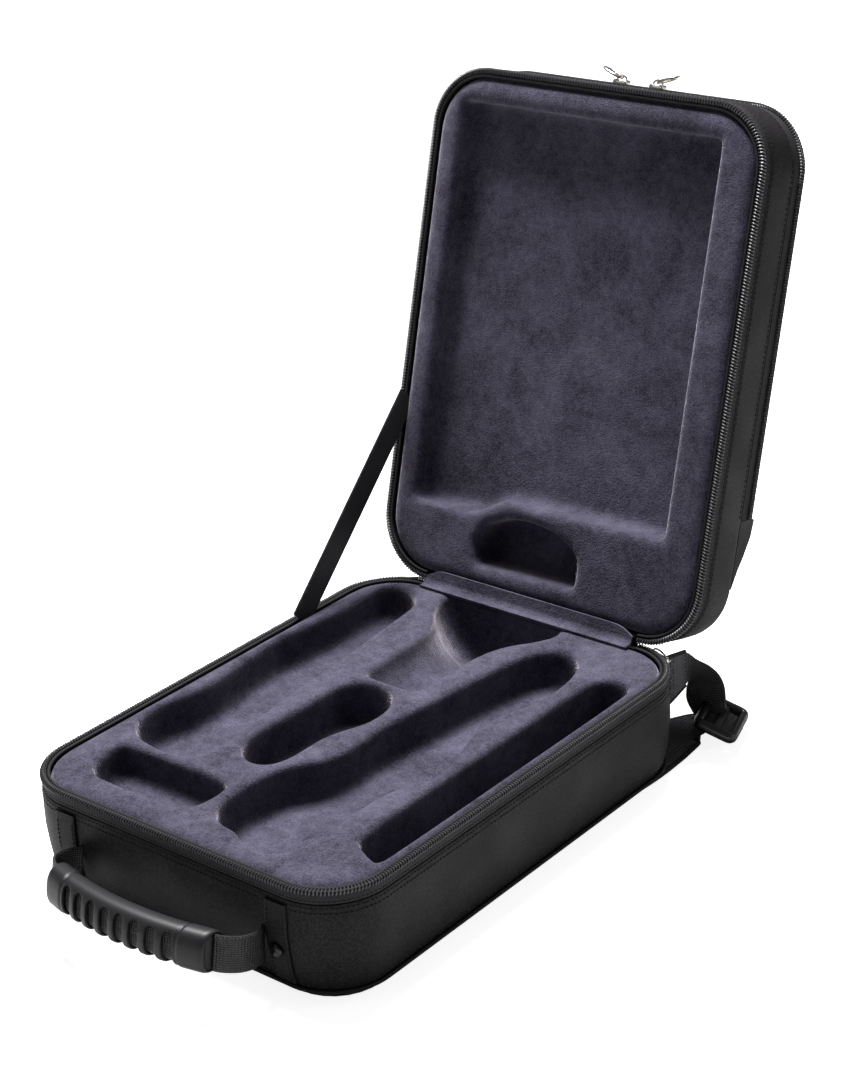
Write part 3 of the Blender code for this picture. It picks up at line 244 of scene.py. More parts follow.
finish = {
    "shell": coatedNylon(),
    "plush": plushVelour(),
    # For the two tapes below, the second colour is the painted highlight on the rib tops and the first also
    # stands for painted shade between the ribs
    "tape": wovenTape("needle_loomed_zip_tape", "#0e0e10", "#1d1d20", 0.0013, 0.0016),
    "binding": wovenTape("grosgrain_binding_tape", "#08080a", "#101013", 0.0012, 0.05),
    # For the two webbings below, the second colour is the painted highlight on the raised cords and the first
    # also stands for painted shade between them
    "webbing": plainWebbing("plain_woven_nylon_webbing", "#030304", "#1f1f22", 0.0017, 0.0014),
    "stay": plainWebbing("light_woven_nylon_webbing", "#0d0d0f", "#1a1a1d", 0.0007, 0.0006),
    # Nylon monofilament wound into a zip coil and heat set
    "coil": newMaterial("heat_set_nylon_coil", "#323235", 0.36)[0],
    "mesh": airMesh(),
    # Thermoplastic rubber
    "rubber": moulded("moulded_satin_rubber", "#141416", 0.47, 0.24, 0.0005, 2.0, 0.00005, 0.5),
    # Injection moulded acetal
    "plastic": moulded("moulded_black_acetal", "#131315", 0.34, 0.5, 0.0006, 1.0, 0.00004, 0.4),
    "nickel": platedNickel(),
    # Steel rivet head, pressed and blackened
    "steel": newMaterial("blackened_pressed_steel", "#1c1c1f", 0.26, metallic=0.7)[0],
    # Bonded polyester thread, lockstitched
    "thread": newMaterial("bonded_polyester_thread", "#121113", 0.8, specular=0.15)[0],
}
print("materials made")


# Shapes

def meshFrom(bm, name):
    mesh = bpy.data.meshes.new(name)
    bm.to_mesh(mesh)
    bm.free()
    return mesh


def placed(name, data):
    made = bpy.data.objects.new(name, data)
    bpy.context.scene.collection.objects.link(made)
    return made


# A node shown as its own solid, in a better material
def showNode(name, kind):
    nodes[name].data.materials.clear()
    nodes[name].data.materials.append(finish[kind])


# A finished piece at the origin. A piece of the lid is drawn shut and opened here
def newPiece(name, bm, kind, body, replaced=(), opened=False):
    if opened:
        bmesh.ops.transform(bm, matrix=lidOpened, verts=bm.verts)
    bmesh.ops.recalc_face_normals(bm, faces=bm.faces)
    mesh = meshFrom(bm, name)
    mesh.shade_smooth()
    mesh.set_sharp_from_angle(angle=radians(42))
    piece = placed(name, mesh)
    mesh.materials.append(finish[kind])
    if body is not None:
        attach(piece, body)
    if replaced:
        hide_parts(*replaced)
    return piece


# Skin between rows of points, capped unless it runs round. Its map is in metres: along, then round
def loft(rows, cyclic=False, bm=None):
    bm = bmesh.new() if bm is None else bm
    layer = bm.loops.layers.uv.get("metres") or bm.loops.layers.uv.new("metres")
    made = [[bm.verts.new(point) for point in row] for row in rows]
    count = len(rows[0])
    middle = rows[len(rows) // 2]
    around = [0.0]
    for i in range(count):
        around.append(around[-1] + (middle[(i + 1) % count] - middle[i]).length)
    along = [0.0]
    for i in range(len(rows)):
        along.append(along[-1] + (rows[(i + 1) % len(rows)][0] - rows[i][0]).length)
    for r in range(len(rows) if cyclic else len(rows) - 1):
        low, high = made[r], made[(r + 1) % len(rows)]
        for i in range(count):
            j = (i + 1) % count
            face = bm.faces.new((low[i], low[j], high[j], high[i]))
            marks = ((along[r], around[i]), (along[r], around[i + 1]),
                     (along[r + 1], around[i + 1]), (along[r + 1], around[i]))
            for corner, mark in zip(face.loops, marks):
                corner[layer].uv = mark
    if not cyclic:
        bm.faces.new(made[0])
        bm.faces.new(made[-1])
    return bm


# How far the base wall stands inside the rim, with the table's corners smoothed out
def wallInset(height):
    total = 0.0
    for shift in (-0.0024, -0.0012, 0.0, 0.0012, 0.0024):
        share = min(max((height + shift) / case["rim"], 0.0), 1.0)
        for (low, insetLow), (high, insetHigh) in zip(wallShares, wallShares[1:]):
            if share <= high:
                total += insetLow + (insetHigh - insetLow) * (share - low) / (high - low)
                break
    return case["bottomInset"] * total / 5


# Places on one rounded corner of the case and the directions in which it faces
def cornerStations(sideX, sideY):
    start = {(1, 1): 0.0, (-1, 1): pi / 2, (-1, -1): pi, (1, -1): pi * 3 / 2}[sideX, sideY]
    centre = Vector((sideX * (case["halfWidth"] - case["radius"]),
                     sideY * (case["halfLength"] - case["radius"])))
    stations, steps = [], 14
    for step in range(steps + 1):
        angle = start + step / steps * pi / 2
        facing = Vector((cos(angle), sin(angle)))
        stations.append((centre + facing * case["radius"], facing))
    return stations


# A path with places added along its straight runs
def filled(stations, spacing, closed):
    path = []
    count = len(stations)
    for i in range(count if closed else count - 1):
        (here, facing), (there, nextFacing) = stations[i], stations[(i + 1) % count]
        path.append((here, facing))
        extra = int((there - here).length / spacing)
        for k in range(1, extra):
            path.append((here.lerp(there, k / extra), facing.lerp(nextFacing, k / extra).normalized()))
    if not closed:
        path.append(stations[-1])
    return path


def corners(*signs):
    return [station for x, y in signs for station in cornerStations(x, y)]


def wholePath():
    return filled(corners((1, 1), (-1, 1), (-1, -1), (1, -1)), straightStep, True)


def zipPath(spacing=straightStep):
    back, end = case["halfLength"], case["zipEnd"]
    around = corners((-1, 1), (-1, -1), (1, -1), (1, 1))
    ends = (Vector((-end, back)), Vector((0, 1))), (Vector((end, back)), Vector((0, 1)))
    return filled([ends[0]] + around + [ends[1]], spacing, False)


def pocketPath(spacing=straightStep, closed=False):
    side, split = case["halfWidth"], case["pocketSplit"]
    ends = (Vector((-side, split)), Vector((-1, 0))), (Vector((side, split)), Vector((1, 0)))
    return filled([ends[0]] + corners((-1, -1), (1, -1)) + [ends[1]], spacing, closed)


def pointAt(station, inset, height):
    place, facing = station
    return Vector((*(place - facing * inset), height))


def ringsAt(path, stages):
    return [[pointAt(station, inset, height) for station in path] for inset, height in stages]


# A profile of inset and height, carried along a path round the case
def sweep(path, profile, closed=False):
    rows = [[pointAt(station, inset, height) for inset, height in profile] for station in path]
    return loft(rows, cyclic=closed)


def roundSection(inset, height, across, upright, count=10):
    return [(inset + across * cos(2 * pi * k / count), height + upright * sin(2 * pi * k / count))
            for k in range(count)]


# A flat strip's section with rounded edges, as inset and height
def slabSection(outer, inner, low, high, edge):
    points = []
    for x, y, start in ((inner - edge, high - edge, 0.0), (outer + edge, high - edge, pi / 2),
                        (outer + edge, low + edge, pi), (inner - edge, low + edge, pi * 3 / 2)):
        for step in range(4):
            angle = start + step / 3 * pi / 2
            points.append((x + edge * cos(angle), y + edge * sin(angle)))
    return points


# Which way a line runs at one of its points
def heading(line, i):
    return line[min(i + 1, len(line) - 1)] - line[max(i - 1, 0)]


# A ring of points round a centre, in the plane of two directions
def ringRound(centre, first, second, radius, count):
    turns = [2 * pi * k / count for k in range(count)]
    return [centre + (first * cos(turn) + second * sin(turn)) * radius for turn in turns]


# A number raised to a power that keeps its sign
def signedPower(value, power):
    return abs(value) ** power * (1 if value > 0 else -1)


# Which run of a line holds a distance along it, and the share of that run
def spotAt(marks, distance):
    where = 0
    while where < len(marks) - 2 and marks[where + 1] < distance:
        where += 1
    return where, (distance - marks[where]) / (marks[where + 1] - marks[where])


# Distance from a line's start to each of its points
def marksAlong(points):
    marks = [0.0]
    for a, b in zip(points, points[1:]):
        marks.append(marks[-1] + (b - a).length)
    return marks


# A zip coil: monofilament wound round a line along the tape's edge
def coil(name, path, inset, height, reach, pitch, wire, body, replaced, opened=False, phase=0.0):
    line = [pointAt(station, inset, height) for station in path]
    marks = marksAlong(line)
    perTurn = 8
    steps = int(marks[-1] / pitch * perTurn)
    centres, wound = [], []
    for k in range(steps + 1):
        where, share = spotAt(marks, marks[-1] * k / steps)
        centre = line[where].lerp(line[where + 1], share)
        facing = path[where][1].lerp(path[where + 1][1], share).normalized()
        angle = 2 * pi * k / perTurn + phase
        outward = Vector((*facing, 0.0))
        centres.append(centre)
        wound.append(centre + outward * reach[0] * cos(angle) + Vector((0, 0, reach[1] * sin(angle))))
    rows = []
    for k, point in enumerate(wound):
        ahead = heading(wound, k).normalized()
        out = (point - centres[k]).normalized()
        side = ahead.cross(out).normalized()
        out = side.cross(ahead)
        rows.append(ringRound(point, out, side, wire, 5))
    newPiece(name, loft(rows), "coil", body, replaced, opened)


# A smooth line through vectors or numbers given at even stations
def smoothLine(values, steps):
    line = []
    last = len(values) - 1
    for i in range(last):
        before, start = values[max(i - 1, 0)], values[i]
        end, after = values[i + 1], values[min(i + 2, last)]
        for k in range(steps):
            t = k / steps
            line.append(0.5 * (2 * start + (end - before) * t
                               + (2 * before - 5 * start + 4 * end - after) * t * t
                               + (3 * start - before - 3 * end + after) * t * t * t))
    line.append(values[-1])
    return line


# Rows of a band through stations of centre, direction across and width
def ribbonRows(stations, section, steps=8):
    centres = smoothLine([Vector(centre) for centre, across, width in stations], steps)
    acrosses = smoothLine([Vector(across) for centre, across, width in stations], steps)
    widths = smoothLine([width for centre, across, width in stations], steps)
    rows = []
    for i, centre in enumerate(centres):
        ahead = heading(centres, i).normalized()
        across = (acrosses[i] - ahead * acrosses[i].dot(ahead)).normalized()
        up = ahead.cross(across)
        rows.append([centre + across * (x * widths[i] / 2) + up * z for x, z in section])
    return rows


# A band's section: share of the half width, metres of height
def bandSection(thickness):
    half = thickness / 2
    xs = (-0.94, -0.75, -0.5, -0.25, 0.0, 0.25, 0.5, 0.75, 0.94)
    top = [(x, half) for x in xs]
    low = [(x, -half) for x in reversed(xs)]
    return top + [(1.0, half * 0.5), (1.0, -half * 0.5)] + low + [(-1.0, -half * 0.5), (-1.0, half * 0.5)]


def ribbon(name, stations, section, kind, body, replaced):
    return newPiece(name, loft(ribbonRows(stations, section)), kind, body, replaced)


# The same stations on the other side of the case
def mirroredStations(stations, side):
    return [((side * centre[0], *centre[1:]), (side * across[0], across[1], across[2]), width)
            for centre, across, width in stations]


# Rows of a round cord through points
def cordRows(points, radius, around, closed=False, flat=1.0, upright=(0, 0, 1)):
    rows, count = [], len(points)
    side = Vector(upright)
    for i, point in enumerate(points):
        after = points[(i + 1) % count] if closed else points[min(i + 1, count - 1)]
        before = points[i - 1] if closed else points[max(i - 1, 0)]
        ahead = (after - before).normalized()
        across = ahead.cross(side).normalized()
        up = across.cross(ahead)
        rows.append(ringRound(point, across, up * flat, radius, around))
    return rows


# A row of thread stitches along a line, each dipping into the cloth at both ends. A stitch covers
# a share of the pitch
def stitches(name, points, outs, pitch, body, opened=False, radius=0.00032):
    bm = bmesh.new()
    marks = marksAlong(points)
    count = int(marks[-1] / pitch)
    share = 0.72

    def at(distance):
        where, part = spotAt(marks, distance)
        out = outs[where].lerp(outs[where + 1], part).normalized()
        return points[where].lerp(points[where + 1], part), out

    for k in range(count):
        rows = []
        for along, lift, size in ((0.0, -0.4, 0.55), (0.22, 0.6, 1.0), (0.78, 0.6, 1.0), (1.0, -0.4, 0.55)):
            place, out = at((k + along * share) * pitch)
            ahead = (at((k + share) * pitch)[0] - at(k * pitch)[0]).normalized()
            across = ahead.cross(out).normalized()
            centre = place + out * lift * radius
            rows.append(ringRound(centre, across, out, radius * size, 5))
        loft(rows, bm=bm)
    newPiece(name, bm, "thread", body, (), opened)


# Points of a row round the case, and the ways they face
def rowRound(path, inset, height):
    points = [pointAt(station, inset, height) for station in path]
    return points, [Vector((*facing, 0.0)) for place, facing in path]


# Grids of the remeshed pieces, in metres
plushGrid = 0.002
gripGrid = 0.00055


# A padded block made from its CAD node: merged, remeshed fine and softened at its edges
def softCopy(nodeName, name, rounds, body):
    source = nodes[nodeName]
    bm = bmesh.new()
    bm.from_mesh(source.data)
    bmesh.ops.transform(bm, matrix=source.matrix_world, verts=bm.verts)
    bmesh.ops.remove_doubles(bm, verts=bm.verts, dist=0.00001)
    return remeshed(meshFrom(bm, name + "_rough"), name, plushGrid, rounds, "plush", body, (nodeName,))


# A mesh less its cutters, remeshed on an even grid and smoothed some rounds
def remeshed(mesh, name, grid, rounds, kind, body, replaced, cutters=()):
    rough = placed(name + "_rough", mesh)
    for cutter in cutters:
        taken = rough.modifiers.new("cut", "BOOLEAN")
        taken.operation = "DIFFERENCE"
        taken.object = cutter
        taken.solver = "EXACT"
    even = rough.modifiers.new("even", "REMESH")
    even.mode = "VOXEL"
    even.voxel_size = grid
    bpy.context.view_layer.update()
    evaluated = rough.evaluated_get(bpy.context.evaluated_depsgraph_get())
    made = bpy.data.meshes.new_from_object(evaluated)
    bpy.data.objects.remove(rough, do_unlink=True)
    for cutter in cutters:
        bpy.data.objects.remove(cutter, do_unlink=True)
    bm = bmesh.new()
    bm.from_mesh(made)
    for turn in range(rounds):
        bmesh.ops.smooth_vert(bm, verts=bm.verts, factor=0.5, use_axis_x=True, use_axis_y=True,
                              use_axis_z=True)
    return newPiece(name, bm, kind, body, replaced)


# A box with rounded edges, all of them or only those along one axis
def roundedBox(low, high, radius, segments=3, axis=None):
    bm = bmesh.new()
    bmesh.ops.create_cube(bm, size=1.0)
    size, middle = Vector(high) - Vector(low), (Vector(high) + Vector(low)) / 2
    bmesh.ops.scale(bm, vec=size, verts=bm.verts)
    bmesh.ops.translate(bm, vec=middle, verts=bm.verts)
    edges = [edge for edge in bm.edges
             if axis is None or abs((edge.verts[0].co - edge.verts[1].co).normalized()[axis]) > 0.9]
    bmesh.ops.bevel(bm, geom=edges, offset=radius, segments=segments, profile=0.5, affect="EDGES",
                    material=-1)
    return bm


# Adds one bmesh's faces to another
def joinInto(target, other):
    held = meshFrom(other, "held")
    target.from_mesh(held)
    bpy.data.meshes.remove(held)


# Base of the case: its wall's foot, thickness and seam under the rim, and the piping round the foot

baseWall = {"foot": 0.0088, "thick": 0.003, "seam": 0.0105, "steps": 24}
piping = {"height": 0.0086, "radius": 0.0014, "out": 0.0016}


def makeBase():
    rim, foot, thick, steps = case["rim"], baseWall["foot"], baseWall["thick"], baseWall["steps"]
    heights = [foot + (rim - baseWall["seam"] - foot) * k / steps for k in range(steps + 1)]
    wall = [(wallInset(height), height) for height in heights]
    ledge = [(0.0001, rim - 0.0102), (0.0005, rim - 0.0098), (0.0014, rim - 0.0097), (0.0015, rim - 0.003)]
    inner = [(inset + thick, max(height, foot + thick)) for inset, height in reversed(wall)]
    rings = ringsAt(wholePath(), wall + ledge + [(0.0045, rim - 0.003)] + inner)
    newPiece("baseShell", loft(rings), "shell", "base", ("base_shell",))

    height, radius = piping["height"], piping["radius"]
    section = roundSection(wallInset(height) - piping["out"], height, radius, radius)
    newPiece("basePiping", sweep(wholePath(), section, True), "binding", "base", ("base_piping",))
    showNode("back_panel", "shell")

    for name, height, pitch in (("baseSeamStitches", rim - 0.0122, 0.0030),
                                ("baseLowerSeamStitches", rim - 0.0155, 0.0030),
                                ("baseFootStitches", 0.0125, 0.0036)):
        points, outs = rowRound(wholePath() + wholePath()[:1], wallInset(height), height)
        stitches(name, points, outs, pitch, "base")


# Main zip. Heights are from the rim, upwards for the lid's half and downwards for the base's
mainZip = {
    "tape": (0.0026, 0.0094), "tapeInset": (0.0002, 0.0012), "tapeEdge": 0.0003,
    "coil": 0.0023, "coilInset": 0.0014, "reach": (0.0019, 0.0018), "pitch": 0.0021, "wire": 0.00048,
    "cord": 0.0012, "binding": 0.0022, "bindingInset": 0.0048, "bindingHalf": (0.0011, 0.0012),
    "stitches": 0.0078, "stitchPitch": 0.0028, "thread": 0.00024,
}


# Tape, coil, cord, binding and stitching of one half
def makeMainZip(half, sign):
    rim, opened, path = case["rim"], half == "lid", zipPath()
    low, high = sorted(rim + sign * height for height in mainZip["tape"])
    section = slabSection(*mainZip["tapeInset"], low, high, mainZip["tapeEdge"])
    newPiece(half + "ZipTape", sweep(path, section), "tape", half, (half + "_zip_tape",), opened)
    height = rim + sign * mainZip["coil"]
    coil(half + "ZipCoil", zipPath(coilStep), mainZip["coilInset"], height, mainZip["reach"],
         mainZip["pitch"], mainZip["wire"], half, (half + "_zip_teeth",), opened)
    section = roundSection(mainZip["coilInset"], height, mainZip["cord"], mainZip["cord"], 8)
    newPiece(half + "ZipCord", sweep(path, section), "binding", half, (), opened)
    section = roundSection(mainZip["bindingInset"], rim + sign * mainZip["binding"],
                           *mainZip["bindingHalf"])
    newPiece(half + "RimBinding", sweep(path, section), "binding", half, (half + "_rim_binding",), opened)
    points, outs = rowRound(path, mainZip["tapeInset"][0], rim + sign * mainZip["stitches"])
    stitches(half + "TapeStitches", points, outs, mainZip["stitchPitch"], half, opened, mainZip["thread"])


# Lid, drawn shut. Its wall bellies out a little between its seam and its rounded edge

lidWall = {"thick": 0.003, "seam": 0.0103, "belly": 0.0004, "edge": 0.003}


def makeLid():
    rim, deep, thick = case["rim"], case["rim"] + case["panel"], lidWall["thick"]
    outer = [(0.0015, rim + 0.003), (0.0014, rim + 0.0096), (0.0006, rim + 0.0097),
             (0.0001, rim + lidWall["seam"])]
    for k in range(1, 9):
        height = rim + lidWall["seam"] + (case["panel"] - lidWall["seam"] - lidWall["edge"]) * k / 8
        outer.append((-lidWall["belly"] * sin(pi * k / 8), height))
    outer += [(0.0002, deep - 0.0018), (0.0007, deep - 0.0008), (0.0016, deep - 0.0001), (0.003, deep)]
    inner = [(0.0045, rim + 0.003)]
    inner += [(inset + thick, min(height, deep - thick)) for inset, height in outer[1:]]
    rings = ringsAt(wholePath(), list(reversed(inner)) + outer)
    newPiece("lidShell", loft(rings), "shell", "lid", ("lid_shell",), True)
    for name, path, height in (("lidSeamStitches", wholePath() + wholePath()[:1], rim + 0.0125),
                               ("lidPanelStitches", pocketPath(), deep - 0.0035)):
        points, outs = rowRound(path, 0.0, height)
        stitches(name, points, outs, 0.0034, "lid", True)


# Pocket on the outside of the lid. Heights are from the lid's panel
pocketZip = {
    "tape": (0.0003, 0.0072), "tapeInset": (0.0008, 0.0018), "tapeEdge": 0.0003, "upperShare": 0.52,
    "coils": (0.0080, 0.0103), "coilInset": 0.0003, "reach": (0.0015, 0.0007), "pitch": 0.0019,
    "wire": 0.00044,
}
flap = {"foot": 0.0113, "inset": 0.0022, "bend": 0.0045, "straight": 0.4, "thick": 0.002,
        "middle": 0.012, "clear": 0.0006}


def pocketTape(name, low, high, body, node):
    section = slabSection(*pocketZip["tapeInset"], low, high, pocketZip["tapeEdge"])
    newPiece(name, sweep(pocketPath(), section), "tape", body, (node,), True)


def pocketCoil(name, height, body, node, phase):
    coil(name, pocketPath(coilStep), pocketZip["coilInset"], height, pocketZip["reach"],
         pocketZip["pitch"], pocketZip["wire"], body, (node,), True, phase)


def makePocket():
    panel, top = case["rim"] + case["panel"], case["rim"] + case["lidDepth"]
    foot = panel + flap["foot"]
    edge = top - foot
    low, high = (panel + height for height in pocketZip["tape"])
    lowCoil, highCoil = (panel + height for height in pocketZip["coils"])
    pocketTape("pocketTapeLower", low, high, "lid", "pocket_zip_tape_lower")
    pocketCoil("pocketCoilLower", lowCoil, "lid", "pocket_zip_teeth_lower", 0.0)
    pocketCoil("pocketCoilUpper", highCoil, "pocket", "pocket_zip_teeth_upper", pi)
    pocketTape("pocketTapeUpper", foot, foot + edge * pocketZip["upperShare"], "pocket",
               "pocket_zip_tape_upper")

    side, straight = flap["inset"], flap["straight"]
    outer = [(side, foot), (side, foot + edge * straight)]
    for k in range(1, 9):
        angle = pi / 2 * k / 8
        outer.append((side + flap["bend"] * (1 - cos(angle)),
                      foot + edge * (straight + (1 - straight) * sin(angle))))
    outer.append((flap["middle"], top))
    inner = [(inset + flap["thick"], min(height, top - flap["thick"])) for inset, height in outer]
    rows = []
    for row in ringsAt(pocketPath(closed=True), list(reversed(inner)) + outer):
        rows.append([Vector((p.x, min(p.y, case["pocketSplit"] - flap["clear"]), p.z)) for p in row])
    newPiece("pocketFlap", loft(rows), "shell", "pocket", ("pocket_flap",), True)
    showNode("pocket_lower_end", "shell")


# Zip sliders: the body, the arch that holds the pull, and the pull's oval loop of wire

slider = {
    "half": (0.0055, 0.0032), "rise": 0.0036, "clear": 0.0003, "edge": 0.0011,
    "archHalf": 0.0038, "archRise": 0.0032, "archSink": 0.0004, "archWire": 0.0007,
    "reach": 0.0082, "pullHalf": 0.0039, "taper": 0.0004, "pullWire": 0.00095, "pullRise": 0.00115,
}
pocketSliders = {"x": 0.0145, "height": 0.00915, "lift": radians(20)}
mainSliders = {"x": 0.090, "centreY": 0.135, "turn": radians(25), "height": 0.0722, "slim": 0.75}


# A slider and its loose pull, on a wall that faces +Y or -Y
def sliderShapes(centre, outward, pullSide, lift=0.0, slim=1.0):
    x, y, z = centre
    halfLong, halfWide = slider["half"]
    foot = y + outward * slider["clear"]
    crown = foot + outward * slider["rise"]
    body = roundedBox((x - halfLong, min(foot, crown), z - halfWide),
                      (x + halfLong, max(foot, crown), z + halfWide), slider["edge"])
    arch = []
    for k in range(17):
        angle = pi * k / 16
        arch.append(Vector((x - slider["archHalf"] * cos(angle) * (1 - 0.12 * sin(angle)),
                            crown + outward * (slider["archRise"] * sin(angle) ** 0.7 - slider["archSink"]),
                            z)))
    loft(cordRows(arch, slider["archWire"], 8), bm=body)
    loop = []
    reach, height = slider["reach"], crown + outward * slider["pullRise"]
    for k in range(40):
        angle = 2 * pi * k / 40
        half = (slider["pullHalf"] - slider["taper"] * cos(angle) * pullSide) * slim
        loop.append(Vector((x + pullSide * (reach - 0.0002) + reach * 0.97 * cos(angle), height,
                            z + half * sin(angle) * 1.05)))
    wire = cordRows(loop, slider["pullWire"] * slim, 10, closed=True, upright=(0, 1, 0))
    pull = loft(wire, cyclic=True)
    bmesh.ops.rotate(pull, cent=Vector((x, height, z)), matrix=Matrix.Rotation(lift, 3, "Z"),
                     verts=pull.verts)
    return body, pull


def dressSlider(zipName, word, shapes, opened=False):
    for part, shape in zip(("Slider", "Pull"), shapes):
        node = zipName + "_" + part.lower() + "_" + word
        newPiece(zipName + part + "_" + word, shape, "nickel", node, (node,), opened)


def makeSliders():
    for side, word in sides:
        place = (side * pocketSliders["x"], -case["halfLength"],
                 case["rim"] + case["panel"] + pocketSliders["height"])
        shapes = sliderShapes(place, -1, side, lift=-side * pocketSliders["lift"])
        dressSlider("pocket", word, shapes, True)
        # A main slider is drawn on the back wall and turned about its rounded corner's centre
        centre = Vector((side * mainSliders["x"], mainSliders["centreY"], 0.0))
        turned = turnAbout(centre, -side * mainSliders["turn"], "Z")
        place = (side * mainSliders["x"], case["halfLength"], mainSliders["height"])
        shapes = sliderShapes(place, 1, -side, slim=mainSliders["slim"])
        for shape in shapes:
            bmesh.ops.transform(shape, matrix=turned, verts=shape.verts)
        dressSlider("main", word, shapes)


# Handle on the short wall: pivot, lift and bow, and half depth and half height of bar, hollow and core

handle = {
    "pivot": Vector((0.0, -0.17678, 0.0345)), "angle": radians(11), "reach": 0.042, "bow": 0.010,
    "length": 0.128, "bar": (0.0095, 0.0125), "hollow": (0.0065, 0.0108), "core": (0.0061, 0.0105),
    "collar": 0.0465, "endRound": 0.0025,
}
handleTurned = turnAbout(handle["pivot"], -handle["angle"], "X")
gripSlots = {"count": 8, "pitch": 0.0117, "half": 0.0037, "deep": 0.019, "low": 0.0142,
             "high": 0.0088, "bend": 0.0034}

# Middle of the webbing from the wall to the grip, and the direction of its width
handleWeb = (
    ((0.07428, -0.17889, 0.03487), (0.0, 0.0, 1.0)), ((0.07685, -0.18392, 0.03584), (0.0, 0.096, 0.995)),
    ((0.07814, -0.19114, 0.03725), (0.0, 0.19, 0.982)), ((0.07647, -0.19836, 0.03865), (0.0, 0.19, 0.982)),
    ((0.07208, -0.20402, 0.03975), (0.0, 0.19, 0.982)), ((0.06782, -0.20716, 0.04036), (0.0, 0.19, 0.982)),
    ((0.0646, -0.20842, 0.04061), (0.0, 0.19, 0.982)),
)
handleWebWidth = 0.0225

# Tabs sewn up the wall over the webbing's ends, and the rivets through them
tab = {"half": 0.008, "x": 0.0855, "low": 0.01146, "high": 0.066, "thick": 0.0014, "edge": 0.0004,
       "seam": 0.0062, "seamLow": 0.0135, "seamTall": 0.0505}
rivet = {"radius": 0.0045, "height": 0.0345, "rim": 0.0008, "dome": 0.0019}


def bowAt(x):
    share = x / (handle["length"] / 2)
    return handle["reach"] - handle["bow"] * share * share


# A bar that bows outwards, its section between an ellipse and an oblong
def handleBar(length, half, power, steps, count, collars=False):
    rows = []
    halfOut, halfUp = half
    for step in range(steps + 1):
        x = (step / steps - 0.5) * length
        grow = 1.0
        if collars:
            past = abs(x) - handle["collar"]
            grow = 1.03 if past > 0.0009 else (0.955 if past > -0.0004 else 1.0)
            rest = length / 2 - abs(x)
            if rest < handle["endRound"]:
                grow *= 0.9 + 0.1 * (rest / handle["endRound"]) ** 0.5
        row = []
        for k in range(count):
            angle = 2 * pi * k / count
            out, up = signedPower(cos(angle), 2 / power), signedPower(sin(angle), 2 / power)
            row.append(Vector((x, handle["pivot"].y - bowAt(x) - out * halfOut * grow,
                               handle["pivot"].z + up * halfUp * grow)))
        rows.append(row)
    return loft(rows)


def turnedMesh(bm, name):
    bmesh.ops.transform(bm, matrix=handleTurned, verts=bm.verts)
    bmesh.ops.recalc_face_normals(bm, faces=bm.faces)
    return meshFrom(bm, name)


def makeHandle():
    length, pivot = handle["length"], handle["pivot"]
    bar = turnedMesh(handleBar(length, handle["bar"], 2.5, 160, 40, True), "gripBar")
    hollow = turnedMesh(handleBar(length + 0.004, handle["hollow"], 3.0, 40, 32), "gripHollow")
    half, cuts = gripSlots["half"], bmesh.new()
    for slot in range(gripSlots["count"]):
        x = (slot - (gripSlots["count"] - 1) / 2) * gripSlots["pitch"]
        inner = pivot.y - bowAt(x)
        joinInto(cuts, roundedBox((x - half, inner - gripSlots["deep"], pivot.z - gripSlots["low"]),
                                  (x + half, inner, pivot.z + gripSlots["high"]), gripSlots["bend"], 6, 1))
    cutters = []
    for mesh in (hollow, turnedMesh(cuts, "gripSlots")):
        cutter = placed(mesh.name, mesh)
        cutter.hide_render = True
        cutters.append(cutter)
    remeshed(bar, "handleGrip", gripGrid, 3, "rubber", "handle", ("handle_grip",), cutters)
    core = handleBar(length - 0.001, handle["core"], 3.0, 64, 40)
    bmesh.ops.transform(core, matrix=handleTurned, verts=core.verts)
    newPiece("handleCore", core, "webbing", "handle", ("handle_core",))

    stations = [(centre, across, handleWebWidth) for centre, across in handleWeb]
    for side, word in sides:
        piece = ribbon("handleWebbing_" + word, mirroredStations(stations, side), bandSection(0.002),
                       "webbing", None, ("handle_webbing_" + word,))
        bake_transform(piece)
        makeTab(side, word)


def frontWall(height):
    return -(case["halfLength"] - wallInset(height))


# The strip sewn up the wall, its stitching and its rivet
def makeTab(side, word):
    half, thick, edge = tab["half"], tab["thick"], tab["edge"]
    middle = side * tab["x"]
    section = ((-half, 0.0), (half, 0.0), (half, thick - edge), (half - edge, thick),
               (half - 0.002, 0.00155), (0.0, 0.0016), (-half + 0.002, 0.00155), (-half + edge, thick),
               (-half, thick - edge))
    rows = []
    for k in range(25):
        height = tab["low"] + (tab["high"] - tab["low"]) * k / 24
        rows.append([Vector((middle + x, frontWall(height) - 0.0003 - y, height)) for x, y in section])
    newPiece("handleTab_" + word, loft(rows), "shell", "base", ("handle_tab_" + word,))
    for place, offset in (("Inner", -tab["seam"]), ("Outer", tab["seam"])):
        points = []
        for k in range(25):
            height = tab["seamLow"] + tab["seamTall"] * k / 24
            points.append(Vector((middle + offset, frontWall(height) - 0.0019, height)))
        stitches("tabStitches" + place + "_" + word, points, [Vector((0, -1, 0))] * 25, 0.003, "base")

    radius, centre = rivet["radius"], rivet["height"]
    foot = min(frontWall(centre + reach) for reach in (-radius, 0.0, radius)) - 0.0021
    rings = [(radius, 0.0)]
    for k in range(9):
        angle = pi / 2 * k / 8
        rings.append((radius * cos(angle) + 0.0001, rivet["rim"] + rivet["dome"] * sin(angle)))
    rows = [[Vector((middle + wide * cos(2 * pi * s / 32), foot - rise, centre + wide * sin(2 * pi * s / 32)))
             for s in range(32)] for wide, rise in rings]
    newPiece("handleRivet_" + word, loft(rows), "steel", "base", ("handle_rivet_" + word,))


# Shoulder straps

